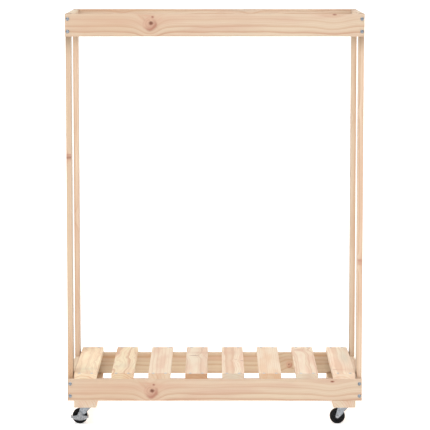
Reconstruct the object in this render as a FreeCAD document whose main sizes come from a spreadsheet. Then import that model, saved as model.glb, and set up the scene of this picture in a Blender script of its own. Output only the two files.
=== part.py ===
"""Firewood log rack: a pine frame with a slatted deck, standing on four small swivel casters.

The frame is a bottom ring and a top ring of boards joined by four posts.  The rings' long boards
(rails) cover the outer edges of the posts; the short side boards lie between the posts.

Frame of the model: millimetres, +Z up, origin on the floor at the middle of the rack,
front of the rack at -Y, width along X.
"""
import FreeCAD, Part
import math
import os

import Sketcher

SIZES = (
    # the rack as a whole
    ("rack_width", 765, "over the rails' ends"),
    ("rack_depth", 400, "over the two rails' faces"),
    ("rack_height", 1071, "floor to the top of the posts"),
    # the pine boards
    ("board_width", 58, "every board's wide face"),
    ("board_thickness", 13.5, "rails, posts, side boards and slats"),
    ("caster_board_thickness", 18, "the two boards that carry the casters"),
    ("edge_radius", 1.2, "rounding along the boards' long edges"),
    ("end_radius", 0.6, "rounding of the boards' sawn ends"),
    ("slat_count", 8, "slats in the deck"),
    ("slat_pitch", 96, "centre to centre of the slats"),
    ("caster_board_inset", 45.5, "rack's end to the caster board's middle"),
    ("swivel_inset", 45, "rail's face to the swivel axis"),
    # fasteners in the wood
    ("pair_spacing", 32, "between the two fasteners of one joint"),
    ("fastener_gap", 0.05, "radial gap around screws and dowels"),
    ("drill_spare", 1, "a blind hole runs this far past its screw's point"),
    ("rail_screw_radius", 2, "shank"),
    ("rail_screw_length", 40, "under the head"),
    ("rail_screw_head_radius", 4.5, "domed head"),
    ("rail_screw_head_height", 2.4, "domed head"),
    ("slat_screw_radius", 1.5, "shank"),
    ("slat_screw_length", 30, "overall, head flush"),
    ("slat_screw_head_radius", 3, "countersunk head"),
    ("base_screw_radius", 2, "caster board to rail, shank"),
    ("base_screw_length", 45, "overall, head flush"),
    ("base_screw_head_radius", 4, "countersunk head"),
    ("plate_screw_radius", 1.75, "caster plate to board, shank"),
    ("plate_screw_length", 14, "under the head"),
    ("plate_screw_head_radius", 3.5, "domed head"),
    ("plate_screw_head_height", 1.6, "domed head"),
    ("dowel_radius", 3, "side board to post"),
    ("dowel_length", 30, "half of it in each board"),
    ("dowel_spare", 0.5, "a dowel hole runs this far past the dowel"),
    # caster: plate, ball race and king pin
    ("caster_height", 50, "floor to the top of the plate"),
    ("plate_size", 42, "square plate, side"),
    ("plate_thickness", 2, "pressed sheet"),
    ("plate_corner", 5, "corner radius"),
    ("plate_hole_pitch", 31, "between the screw holes"),
    ("plate_hole_radius", 2.2, "screw holes"),
    ("race_radius", 7, "circle through the balls' centres"),
    ("race_gap", 2, "plate's underside to the fork's top"),
    ("lip_inner_radius", 9, "ring around the balls"),
    ("lip_outer_radius", 10.2, "ring around the balls"),
    ("lip_depth", 1.6, "ring around the balls"),
    ("ball_count", 12, "in one race"),
    ("ball_radius", 1.5, "steel balls"),
    ("ball_gap", 0.05, "groove's section radius over the ball's"),
    ("king_pin_radius", 3, "shank"),
    ("king_pin_head_radius", 5, "both heads"),
    ("king_pin_top_head", 1, "sunk in the plate"),
    ("king_pin_low_head", 1.4, "under the fork"),
    ("running_gap", 0.05, "radial gap of a bore that turns"),
    ("end_gap", 0.1, "axial gap of a piece that turns"),
    # caster: fork
    ("fork_sheet", 1.5, "legs and web"),
    ("crown_thickness", 2, "top of the fork"),
    ("crown_rounding", 1.5, "the crown's top edge at the back"),
    ("fork_width", 21, "over the two legs"),
    ("crown_front", 15, "swivel axis to the front of the fork"),
    ("crown_back", 14.5, "swivel axis to the back of the fork"),
    ("web_corner", 8, "outer radius between leg and web"),
    ("web_reach", 18.5, "how far the rounded corners run down the web from the nose"),
    ("fork_tip_radius", 5, "round end of a leg"),
    ("swivel_offset", 16, "swivel axis to the axle, level"),
    ("wheel_clearance", 1.5, "tyre to the fork's web"),
    # caster: axle and wheel
    ("axle_radius", 2.5, "rivet shank"),
    ("axle_head_radius", 4, "rivet heads"),
    ("rivet_chamfer", 1, "slope around the face of every rivet's head"),
    ("axle_head_height", 1.5, "rivet heads"),
    ("wheel_radius", 20, "over the tyre"),
    ("tyre_width", 16, "over the tyre's sides"),
    ("tyre_shoulder", 2.4, "rounding of the tread's edges"),
    ("core_radius", 16, "the tyre's seat"),
    ("core_width", 14, "over the rim"),
    ("rim_thickness", 2.6, "radial, under the tyre"),
    ("core_web", 4.4, "disc between hub and rim"),
    ("hub_radius", 5, "middle of the core"),
    ("hub_width", 17.2, "over the hub's ends"),
    # caster: rocking brake pedal and its rivet
    ("pivot_rise", 8, "axle to the pedal's pivot"),
    ("pivot_radius", 1.5, "rivet shank"),
    ("pivot_head_radius", 2.5, "rivet heads and shoulder"),
    ("pivot_inner_head", 0.5, "inside the leg"),
    ("pivot_outer_head", 1.2, "outside the pedal"),
    ("pedal_standoff", 2, "leg to pedal, the rivet's shoulder"),
    ("pedal_sheet", 1.4, "pressed sheet"),
    ("pedal_ear_radius", 4.5, "around the pivot"),
    ("pedal_waist_half", 7, "axle to where a wing begins"),
    ("pedal_waist_rise", 4.5, "top edge over the axle at the waist"),
    ("pedal_tip_rise", 1.4, "top edge over the axle at a tip"),
    ("pedal_tip_drop", 3, "lower edge under the axle at a tip"),
    ("pedal_keel_drop", 10, "lower edge under the axle, middle"),
    ("shoe_gap", 1.6, "tyre to the brake shoe, released"),
    ("shoe_rise", 3, "shoe over the axle's height"),
    ("shoe_drop", 5, "shoe under the axle's height"),
    ("shoe_length", 15, "across the tread"),
    ("tread_depth", 6.5, "foot rest, outward"),
)

SIDES = (("left", -1), ("right", 1))
ENDS = (("front", -1), ("rear", 1))
BRAKED_CASTERS = ("front_left", "rear_right")
AXIS_X = FreeCAD.Vector(1, 0, 0)
AXIS_Y = FreeCAD.Vector(0, 1, 0)
AXIS_Z = FreeCAD.Vector(0, 0, 1)

# Lengths and places that follow from the driving sizes
POST_LENGTH = "(sizes.rack_height - sizes.caster_height - sizes.caster_board_thickness)"
SIDE_BOARD_LENGTH = "(sizes.rack_depth - 2 * sizes.board_thickness - 2 * sizes.board_width)"
RAIL_FOOT = "(sizes.caster_height + sizes.caster_board_thickness)"
LOW_RING = f"({RAIL_FOOT} + sizes.board_width / 2)"
HIGH_RING = "(sizes.rack_height - sizes.board_width / 2)"
RAIL_FACE = "(sizes.rack_depth / 2)"
RAIL_BACK = "(sizes.rack_depth / 2 - sizes.board_thickness)"
POST_FACE = "(sizes.rack_width / 2 - sizes.board_thickness)"
END_SCREW_X = "(sizes.rack_width / 2 - sizes.board_thickness / 2)"
END_SCREW_Y = "(sizes.rack_depth / 2 - sizes.board_thickness / 2)"
PAIR_HALF = "(sizes.pair_spacing / 2)"
CASTER_X = "(sizes.rack_width / 2 - sizes.caster_board_inset)"
CASTER_Y = "(sizes.rack_depth / 2 - sizes.swivel_inset)"
HOLE_HALF = "(sizes.plate_hole_pitch / 2)"
CROWN_TOP = "(sizes.plate_thickness + sizes.race_gap)"
CROWN_FOOT = f"({CROWN_TOP} + sizes.crown_thickness)"
AXLE_DROP = "(sizes.caster_height - sizes.wheel_radius)"
LEG_FACE = "(sizes.fork_width / 2)"
PEDAL_FACE = f"({LEG_FACE} + sizes.pedal_standoff)"
SHOE_RADIUS = "(sizes.wheel_radius + sizes.shoe_gap)"
PEDAL_HALF = f"({SHOE_RADIUS} + sizes.pedal_sheet)"

doc = FreeCAD.newDocument("log_rack")
sheet = doc.addObject("Spreadsheet::Sheet", "sizes")
for row, (alias, number, note) in enumerate(SIZES, start=1):
    sheet.set(f"A{row}", alias)
    sheet.set(f"B{row}", str(number))
    sheet.set(f"C{row}", note)
    sheet.setAlias(f"B{row}", alias)
doc.recompute()

subparts = []


def value(expression):
    """The number that an expression over the sheet's cells gives."""
    result = sheet.evalExpression(expression)
    return float(getattr(result, "Value", result))


# ---------------------------------------------------------------------------
# Sketches
# ---------------------------------------------------------------------------

def new_sketch(body, name, plane, offset="0"):
    """An empty sketch on one of the body's own origin planes, moved along its normal."""
    sketch = body.newObject("Sketcher::SketchObject", f"{body.Name}_{name}")
    support = next(item for item in body.Origin.OriginFeatures if item.Role == plane)
    sketch.AttachmentSupport = [(support, "")]
    sketch.MapMode = "FlatFace"
    sketch.setExpression("AttachmentOffset.Base.z", offset)
    return sketch


def hold_point(sketch, curve, point, x_place, y_place):
    """Tie a point of a curve to a place measured from the sketch's origin."""
    for kind, place, axis in (("DistanceX", x_place, -2), ("DistanceY", y_place, -1)):
        number = value(place)
        if abs(number) < 1e-9:
            sketch.addConstraint(Sketcher.Constraint("PointOnObject", curve, point, axis))
        elif number > 0:
            index = sketch.addConstraint(Sketcher.Constraint(kind, -1, 1, curve, point, number))
            sketch.setExpression(f"Constraints[{index}]", place)
        else:
            index = sketch.addConstraint(Sketcher.Constraint(kind, curve, point, -1, 1, -number))
            sketch.setExpression(f"Constraints[{index}]", f"-({place})")


def draw_circle(sketch, x_place, y_place, radius):
    """A circle held by its centre and radius."""
    centre = FreeCAD.Vector(value(x_place), value(y_place), 0)
    curve = sketch.addGeometry(Part.Circle(centre, AXIS_Z, value(radius)), False)
    hold_point(sketch, curve, 3, x_place, y_place)
    index = sketch.addConstraint(Sketcher.Constraint("Radius", curve, value(radius)))
    sketch.setExpression(f"Constraints[{index}]", radius)


def draw_polygon(sketch, corners):
    """A closed polygon with every corner held by its own place."""
    points = [FreeCAD.Vector(value(x_place), value(y_place), 0) for x_place, y_place in corners]
    first = sketch.GeometryCount
    count = len(points)
    for index in range(count):
        line = Part.LineSegment(points[index], points[(index + 1) % count])
        sketch.addGeometry(line, False)
    for index in range(count):
        following = first + (index + 1) % count
        sketch.addConstraint(Sketcher.Constraint("Coincident", first + index, 2, following, 1))
    for index, (x_place, y_place) in enumerate(corners):
        hold_point(sketch, first + index, 1, x_place, y_place)


def draw_rectangle(sketch, x_low, x_high, y_low, y_high):
    """A rectangle between two places in each direction."""
    draw_polygon(sketch, ((x_low, y_low), (x_high, y_low), (x_high, y_high), (x_low, y_high)))


# ---------------------------------------------------------------------------
# Features
# ---------------------------------------------------------------------------

def new_body(name):
    """An empty body, listed as one sub-part."""
    body = doc.addObject("PartDesign::Body", name)
    body.Label = name
    subparts.append(body)
    return body


def add_pad(body, sketch, length, both_ways=False, reverse=False):
    """Raise a sketch into a solid."""
    pad = body.newObject("PartDesign::Pad", f"{sketch.Name}_pad")
    pad.Profile = sketch
    pad.SideType = "Symmetric" if both_ways else "One side"
    pad.Reversed = reverse
    pad.setExpression("Length", length)
    doc.recompute()
    return pad


def add_pocket(body, sketch, depth=None, both_ways=False, reverse=False):
    """Cut a sketch into the body, right through when no depth is given."""
    before = body.Shape.Volume
    pocket = body.newObject("PartDesign::Pocket", f"{sketch.Name}_pocket")
    pocket.Profile = sketch
    pocket.SideType = "Symmetric" if both_ways else "One side"
    pocket.Reversed = reverse
    if depth is None:
        pocket.Type = "ThroughAll"
    else:
        pocket.Type = "Length"
        pocket.setExpression("Length", depth)
    doc.recompute()
    if body.Shape.Volume > before - 0.01:
        raise RuntimeError(f"{pocket.Name} cuts nothing")
    return pocket


def add_turned(body, sketch, cut=False):
    """Turn a sketch about its own vertical axis, as a solid or as a groove."""
    kind = "PartDesign::Groove" if cut else "PartDesign::Revolution"
    before = body.Shape.Volume if cut else 0.0
    feature = body.newObject(kind, f"{sketch.Name}_turned")
    feature.Profile = sketch
    feature.ReferenceAxis = (sketch, ["V_Axis"])
    feature.Angle = 360
    doc.recompute()
    if cut and body.Shape.Volume > before - 0.01:
        raise RuntimeError(f"{feature.Name} cuts nothing")
    return feature


def add_edge_feature(body, kind, wanted, size_property, size):
    """Fillet or chamfer the edges that a test picks."""
    base = body.Tip
    names = [f"Edge{index + 1}" for index, edge in enumerate(base.Shape.Edges) if wanted(edge)]
    if not names:
        raise RuntimeError(f"{body.Name} has no edge for its {kind}")
    feature = body.newObject(f"PartDesign::{kind}", f"{base.Name}_{kind.lower()}")
    feature.Base = (base, names)
    feature.setExpression(size_property, size)
    doc.recompute()
    return feature


def is_line_along(edge, direction):
    """Whether an edge is straight and parallel to a direction."""
    if not isinstance(edge.Curve, Part.Line):
        return False
    return abs(edge.Curve.Direction.dot(direction)) > 0.9999


def is_circle_at(edge, axis_name, height):
    """Whether an edge is a full circle whose centre has the given height along an axis."""
    if not isinstance(edge.Curve, Part.Circle) or len(edge.Vertexes) != 1:
        return False
    return abs(getattr(edge.Curve.Center, axis_name) - height) < 0.01


def put(item, x_place, y_place, z_place, rotation=FreeCAD.Rotation()):
    """Place a sub-part; its place stays tied to the sheet."""
    item.Placement = FreeCAD.Placement(FreeCAD.Vector(0, 0, 0), rotation)
    item.setExpression("Placement.Base.x", x_place)
    item.setExpression("Placement.Base.y", y_place)
    item.setExpression("Placement.Base.z", z_place)


def add_feature(name, shape):
    """List a shape made of separate equal solids as one sub-part."""
    item = doc.addObject("Part::Feature", name)
    item.Label = name
    item.Shape = shape
    item.Placement = FreeCAD.Placement()
    subparts.append(item)
    return item


# ---------------------------------------------------------------------------
# Boards.  Each is drawn lying down: length along X, wide face up, origin under its middle.
# ---------------------------------------------------------------------------

def add_board(name, length, thickness="sizes.board_thickness"):
    """A planed board with its long edges and its ends eased."""
    body = new_body(name)
    outline = new_sketch(body, "outline", "XY_Plane")
    half_length = f"{length} / 2"
    half_width = "sizes.board_width / 2"
    draw_rectangle(outline, f"-{half_length}", half_length, f"-{half_width}", half_width)
    add_pad(body, outline, thickness)
    add_edge_feature(body, "Fillet", lambda edge: is_line_along(edge, AXIS_X),
                     "Radius", "sizes.edge_radius")
    end = value(half_length)
    add_edge_feature(body, "Fillet", lambda edge: edge.BoundBox.XLength < 1e-4
                     and abs(abs(edge.CenterOfMass.x) - end) < 1e-4, "Radius", "sizes.end_radius")
    return body


def drill_face(body, name, places, radius, depth=None):
    """Round holes from the board's lower wide face upwards."""
    holes = new_sketch(body, name, "XY_Plane")
    for x_place, y_place in places:
        draw_circle(holes, x_place, y_place, radius)
    add_pocket(body, holes, depth, reverse=True)


def drill_edge(body, name, side, places, radius, depth):
    """Round holes into one long edge, at places along the board, half way up its thickness."""
    offset = "sizes.board_width / 2" if side < 0 else "-sizes.board_width / 2"
    holes = new_sketch(body, name, "XZ_Plane", offset)
    for x_place in places:
        draw_circle(holes, x_place, "sizes.board_thickness / 2", radius)
    add_pocket(body, holes, depth, reverse=side > 0)


def countersink(body, height, size):
    """Open the holes' mouths at one face of a board to take flat-headed screws."""
    add_edge_feature(body, "Chamfer", lambda edge: is_circle_at(edge, "z", height), "Size", size)


def pair_about(middle):
    """The two places of a pair of fasteners about a middle."""
    return (f"{middle} - {PAIR_HALF}", f"{middle} + {PAIR_HALF}")


def slat_middle(index):
    """The middle of a slat, counted from the left, along the rack's width."""
    return f"(sizes.slat_pitch * ({index} - (sizes.slat_count - 1) / 2))"


def make_rails():
    """Long boards of the two rings, standing on edge in front of and behind the posts."""
    for level, middle_height in (("bottom", LOW_RING), ("top", HIGH_RING)):
        for end, sign in ENDS:
            rail = add_board(f"rail_{level}_{end}", "sizes.rack_width")
            screws = [(x_place, y_place) for x_place in (f"-{END_SCREW_X}", END_SCREW_X)
                      for y_place in (f"-{PAIR_HALF}", PAIR_HALF)]
            drill_face(rail, "post_holes", screws, "sizes.rail_screw_radius + sizes.fastener_gap")
            if level == "bottom":
                slats = range(int(value("sizes.slat_count")))
                screws = [place for index in slats for place in pair_about(slat_middle(index))]
                drill_edge(rail, "slat_holes", 1, screws,
                           "sizes.slat_screw_radius + sizes.fastener_gap",
                           "sizes.slat_screw_length - sizes.board_thickness + sizes.drill_spare")
                boards = [place for middle in (f"-{CASTER_X}", CASTER_X)
                          for place in pair_about(middle)]
                drill_edge(rail, "caster_board_holes", -1, boards,
                           "sizes.base_screw_radius + sizes.fastener_gap",
                           "sizes.base_screw_length - sizes.caster_board_thickness + sizes.drill_spare")
            upright = FreeCAD.Rotation(AXIS_X, 90)
            facing = FreeCAD.Rotation(AXIS_Z, 0 if sign < 0 else 180)
            put(rail, "0", f"{sign} * {RAIL_BACK}", middle_height, facing * upright)


def make_posts():
    """Uprights, with their thin edges covered by the rails."""
    ring_places = []
    for middle in (f"({HIGH_RING} - {LOW_RING}) / 2", f"-({HIGH_RING} - {LOW_RING}) / 2"):
        ring_places += pair_about(middle)
    for end, end_sign in ENDS:
        for side, side_sign in SIDES:
            post = add_board(f"post_{end}_{side}", POST_LENGTH)
            drill_edge(post, "rail_holes", -1, ring_places,
                       "sizes.rail_screw_radius + sizes.fastener_gap",
                       "sizes.rail_screw_length - sizes.board_thickness + sizes.drill_spare")
            drill_edge(post, "dowel_holes", 1, ring_places,
                       "sizes.dowel_radius + sizes.fastener_gap",
                       "sizes.dowel_length / 2 + sizes.dowel_spare")
            # length upwards, the underside outwards; on one diagonal the post is also turned
            # end over end, which brings its rail holes round to the rail
            turned = FreeCAD.Rotation(AXIS_Z, 180 if side_sign > 0 else 0)
            if side_sign != end_sign:
                turned = turned * FreeCAD.Rotation(AXIS_X, 180)
            upright = FreeCAD.Rotation(AXIS_Y, -90)
            middle = f"{end_sign} * ({RAIL_BACK} - sizes.board_width / 2)"
            put(post, f"{side_sign} * {POST_FACE}", middle, f"({HIGH_RING} + {LOW_RING}) / 2",
                turned * upright)


def make_side_boards():
    """Short boards of the two rings, edge on between a front and a rear post."""
    for level, middle_height in (("bottom", LOW_RING), ("top", HIGH_RING)):
        for side, sign in SIDES:
            board = add_board(f"side_board_{level}_{side}", SIDE_BOARD_LENGTH)
            holes = new_sketch(board, "dowel_holes", "YZ_Plane", f"{SIDE_BOARD_LENGTH} / 2")
            for y_place in (f"-{PAIR_HALF}", PAIR_HALF):
                draw_circle(holes, y_place, "sizes.board_thickness / 2",
                            "sizes.dowel_radius + sizes.fastener_gap")
            add_pocket(board, holes, "sizes.dowel_length / 2 + sizes.dowel_spare")
            far_holes = new_sketch(board, "far_dowel_holes", "YZ_Plane",
                                   f"-{SIDE_BOARD_LENGTH} / 2")
            for y_place in (f"-{PAIR_HALF}", PAIR_HALF):
                draw_circle(far_holes, y_place, "sizes.board_thickness / 2",
                            "sizes.dowel_radius + sizes.fastener_gap")
            add_pocket(board, far_holes, "sizes.dowel_length / 2 + sizes.dowel_spare", reverse=True)
            standing = FreeCAD.Rotation(AXIS_Z, 90) * FreeCAD.Rotation(AXIS_X, 90)
            facing = FreeCAD.Rotation(AXIS_Z, 180 if sign < 0 else 0)
            put(board, f"{sign} * {POST_FACE}", "0", middle_height, facing * standing)


def make_slats():
    """The deck: short boards lying front to back on the bottom rails."""
    for index in range(int(value("sizes.slat_count"))):
        slat = add_board(f"slat_{index + 1}", "sizes.rack_depth")
        places = [(x_place, y_place) for x_place in (f"-{END_SCREW_Y}", END_SCREW_Y)
                  for y_place in (f"-{PAIR_HALF}", PAIR_HALF)]
        drill_face(slat, "screw_holes", places, "sizes.slat_screw_radius + sizes.fastener_gap")
        countersink(slat, value("sizes.board_thickness"),
                    "sizes.slat_screw_head_radius - sizes.slat_screw_radius")
        put(slat, slat_middle(index), "0", f"{RAIL_FOOT} + sizes.board_width",
            FreeCAD.Rotation(AXIS_Z, 90))


def make_caster_boards():
    """Thicker boards under the bottom rails, front to back, one near each end."""
    for side, sign in SIDES:
        board = add_board(f"caster_board_{side}", "sizes.rack_depth",
                          "sizes.caster_board_thickness")
        places = [(x_place, y_place) for x_place in (f"-{END_SCREW_Y}", END_SCREW_Y)
                  for y_place in (f"-{PAIR_HALF}", PAIR_HALF)]
        drill_face(board, "rail_holes", places, "sizes.base_screw_radius + sizes.fastener_gap")
        countersink(board, 0, "sizes.base_screw_head_radius - sizes.base_screw_radius")
        plates = [(f"{end_sign} * {CASTER_Y} + {x_sign} * {HOLE_HALF}", f"{y_sign} * {HOLE_HALF}")
                  for end_sign in (-1, 1) for x_sign in (-1, 1) for y_sign in (-1, 1)]
        drill_face(board, "plate_holes", plates,
                   "sizes.plate_screw_radius + sizes.fastener_gap",
                   "sizes.plate_screw_length - sizes.plate_thickness + sizes.drill_spare")
        put(board, f"{sign} * {CASTER_X}", "0", "sizes.caster_height",
            FreeCAD.Rotation(AXIS_Z, 90))


# ---------------------------------------------------------------------------
# Screws and dowels.  A screw is drawn with its head's seat at the origin and its point at -Z.
# ---------------------------------------------------------------------------

def turned_solid(edges):
    """A solid turned about Z from the edges of a half section in the XZ plane."""
    return Part.Face(Part.Wire(edges)).revolve(FreeCAD.Vector(0, 0, 0), AXIS_Z, 360)


def half_section(corners):
    """Straight edges through (radius, height) corners, first to last."""
    points = [FreeCAD.Vector(radius, 0, height) for radius, height in corners]
    return [Part.LineSegment(points[index], points[index + 1]).toShape()
            for index in range(len(points) - 1)]


def cross_recess(reach, width, depth, top):
    """A cross-shaped drive recess with its mouth at a height; it runs on past the mouth."""
    bar = Part.makeBox(2 * reach, width, 2 * depth, FreeCAD.Vector(-reach, -width / 2, top - depth))
    other = bar.copy()
    other.rotate(FreeCAD.Vector(0, 0, 0), AXIS_Z, 90)
    return bar.fuse(other)


def domed_screw(radius, length, head_radius, head_height):
    """A screw with a domed head and a cross recess, head above its seat."""
    point = 2 * radius
    blunt = 0.2 * radius
    rise = 0.35 * head_height
    corners = ((0, head_height), (0, -length), (blunt, -length), (radius, point - length),
               (radius, 0), (head_radius, 0), (head_radius, rise))
    edges = half_section(corners)
    shoulder = FreeCAD.Vector(0.72 * head_radius, 0, 0.82 * head_height)
    dome = Part.Arc(FreeCAD.Vector(head_radius, 0, rise), shoulder,
                    FreeCAD.Vector(0, 0, head_height))
    solid = turned_solid(edges + [dome.toShape()])
    recess = cross_recess(0.55 * head_radius, 0.2 * head_radius, 0.6 * head_height, head_height)
    return solid.cut(recess)


def flat_screw(radius, length, head_radius):
    """A countersunk screw with a cross recess, its flat top at the origin."""
    cone = head_radius - radius
    point = 2 * radius
    blunt = 0.2 * radius
    corners = ((0, 0), (0, -length), (blunt, -length), (radius, point - length),
               (radius, -cone), (head_radius, 0), (0, 0))
    solid = turned_solid(half_section(corners))
    recess = cross_recess(0.5 * head_radius, 0.18 * head_radius, 0.6 * cone, 0)
    return solid.cut(recess)


def dowel(radius, length):
    """A plain dowel along Z with chamfered ends, centred on the origin."""
    ease = 0.15 * length / 4
    half = length / 2
    corners = ((0, -half), (radius - ease, -half), (radius, ease - half), (radius, half - ease),
               (radius - ease, half), (0, half), (0, -half))
    return turned_solid(half_section(corners))


def copies(solid, places):
    """The same solid at each place, as one compound."""
    items = []
    for base, rotation in places:
        item = solid.copy()
        item.Placement = FreeCAD.Placement(FreeCAD.Vector(*base), rotation)
        items.append(item)
    return Part.makeCompound(items)


def make_frame_fasteners():
    """Rail screws, slat screws, caster board screws, caster plate screws and dowels."""
    half = value(PAIR_HALF)
    heads_up = FreeCAD.Rotation()
    heads_down = FreeCAD.Rotation(AXIS_X, 180)
    rings = (value(LOW_RING), value(HIGH_RING))

    rail_screw = domed_screw(value("sizes.rail_screw_radius"), value("sizes.rail_screw_length"),
                             value("sizes.rail_screw_head_radius"),
                             value("sizes.rail_screw_head_height"))
    places = []
    for end, sign in ENDS:
        outward = FreeCAD.Rotation(AXIS_X, -sign * 90)
        for side, side_sign in SIDES:
            places += [((side_sign * value(END_SCREW_X), sign * value(RAIL_FACE), height + step),
                        outward) for height in rings for step in (-half, half)]
    add_feature("rail_screws", copies(rail_screw, places))

    slat_screw = flat_screw(value("sizes.slat_screw_radius"), value("sizes.slat_screw_length"),
                            value("sizes.slat_screw_head_radius"))
    deck_top = value(f"{RAIL_FOOT} + sizes.board_width + sizes.board_thickness")
    places = []
    for index in range(int(value("sizes.slat_count"))):
        middle = value(slat_middle(index))
        places += [((middle + step, sign * value(END_SCREW_Y), deck_top), heads_up)
                   for end, sign in ENDS for step in (-half, half)]
    add_feature("slat_screws", copies(slat_screw, places))

    base_screw = flat_screw(value("sizes.base_screw_radius"), value("sizes.base_screw_length"),
                            value("sizes.base_screw_head_radius"))
    foot = value("sizes.caster_height")
    places = [((side_sign * value(CASTER_X) + step, sign * value(END_SCREW_Y), foot), heads_down)
              for side, side_sign in SIDES for end, sign in ENDS for step in (-half, half)]
    add_feature("caster_board_screws", copies(base_screw, places))

    plate_screw = domed_screw(value("sizes.plate_screw_radius"), value("sizes.plate_screw_length"),
                              value("sizes.plate_screw_head_radius"),
                              value("sizes.plate_screw_head_height"))
    seat = foot - value("sizes.plate_thickness")
    hole = value(HOLE_HALF)
    places = [((side_sign * value(CASTER_X) + x_step, sign * value(CASTER_Y) + y_step, seat),
               heads_down) for side, side_sign in SIDES for end, sign in ENDS
              for x_step in (-hole, hole) for y_step in (-hole, hole)]
    add_feature("caster_plate_screws", copies(plate_screw, places))

    peg = dowel(value("sizes.dowel_radius"), value("sizes.dowel_length"))
    lying = FreeCAD.Rotation(AXIS_X, 90)
    places = [((side_sign * value(END_SCREW_X), sign * value(SIDE_BOARD_LENGTH) / 2,
                height + step), lying) for side, side_sign in SIDES for end, sign in ENDS
              for height in rings for step in (-half, half)]
    add_feature("side_board_dowels", copies(peg, places))


# ---------------------------------------------------------------------------
# Casters.  Each piece is drawn about the swivel axis, with the plate's top at height 0 and the
# wheel trailing towards -X.
# ---------------------------------------------------------------------------

def make_plate(name):
    """Mounting plate with its screw holes, the upper ball groove and the ring around the balls."""
    body = new_body(f"caster_{name}_plate")
    half = "sizes.plate_size / 2"
    outline = new_sketch(body, "outline", "XY_Plane")
    draw_rectangle(outline, f"-{half}", half, f"-{half}", half)
    add_pad(body, outline, "sizes.plate_thickness", reverse=True)
    add_edge_feature(body, "Fillet", lambda edge: is_line_along(edge, AXIS_Z),
                     "Radius", "sizes.plate_corner")
    lip = new_sketch(body, "lip", "XY_Plane", "-sizes.plate_thickness")
    draw_circle(lip, "0", "0", "sizes.lip_outer_radius")
    draw_circle(lip, "0", "0", "sizes.lip_inner_radius")
    add_pad(body, lip, "sizes.lip_depth", reverse=True)
    groove = new_sketch(body, "groove", "XZ_Plane")
    draw_circle(groove, "sizes.race_radius", f"-{CROWN_TOP} + sizes.race_gap / 2",
                "sizes.ball_radius + sizes.ball_gap")
    add_turned(body, groove, cut=True)
    bore = new_sketch(body, "bore", "XY_Plane")
    draw_circle(bore, "0", "0", "sizes.king_pin_radius + sizes.fastener_gap")
    add_pocket(body, bore)
    sink = new_sketch(body, "sink", "XY_Plane")
    draw_circle(sink, "0", "0", "sizes.king_pin_head_radius + sizes.fastener_gap")
    add_pocket(body, sink, "sizes.king_pin_top_head")
    holes = new_sketch(body, "holes", "XY_Plane")
    for x_sign in (-1, 1):
        for y_sign in (-1, 1):
            draw_circle(holes, f"{x_sign} * {HOLE_HALF}", f"{y_sign} * {HOLE_HALF}",
                        "sizes.plate_hole_radius")
    add_pocket(body, holes)
    return body


def make_king_pin(name):
    """Rivet that holds the fork under the plate and lets it swivel."""
    body = new_body(f"caster_{name}_king_pin")
    section = new_sketch(body, "section", "XZ_Plane")
    low_seat = f"-({CROWN_FOOT} + sizes.end_gap)"
    draw_polygon(section, (
        ("0", "0"),
        ("sizes.king_pin_head_radius", "0"),
        ("sizes.king_pin_head_radius", "-sizes.king_pin_top_head"),
        ("sizes.king_pin_radius", "-sizes.king_pin_top_head"),
        ("sizes.king_pin_radius", low_seat),
        ("sizes.king_pin_head_radius", low_seat),
        ("sizes.king_pin_head_radius", f"{low_seat} - sizes.king_pin_low_head / 3"),
        ("sizes.king_pin_head_radius - sizes.rivet_chamfer", f"{low_seat} - sizes.king_pin_low_head"),
        ("0", f"{low_seat} - sizes.king_pin_low_head"),
    ))
    add_turned(body, section)
    return body


def make_balls(name):
    """Ring of steel balls between the plate and the fork."""
    count = int(value("sizes.ball_count"))
    ball = Part.makeSphere(value("sizes.ball_radius"))
    height = -value(f"{CROWN_TOP} - sizes.race_gap / 2")
    radius = value("sizes.race_radius")
    angles = [2 * math.pi * index / count for index in range(count)]
    places = [((radius * math.cos(angle), radius * math.sin(angle), height), FreeCAD.Rotation())
              for angle in angles]
    return add_feature(f"caster_{name}_balls", copies(ball, places))


def tangent_point(centre, radius, outer, side):
    """Where a line from an outer point touches a circle, on the side given as -1 or +1."""
    away = outer - centre
    swing = side * math.acos(radius / away.Length)
    angle = math.atan2(away.y, away.x) + swing
    return centre + FreeCAD.Vector(radius * math.cos(angle), radius * math.sin(angle), 0)


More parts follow.
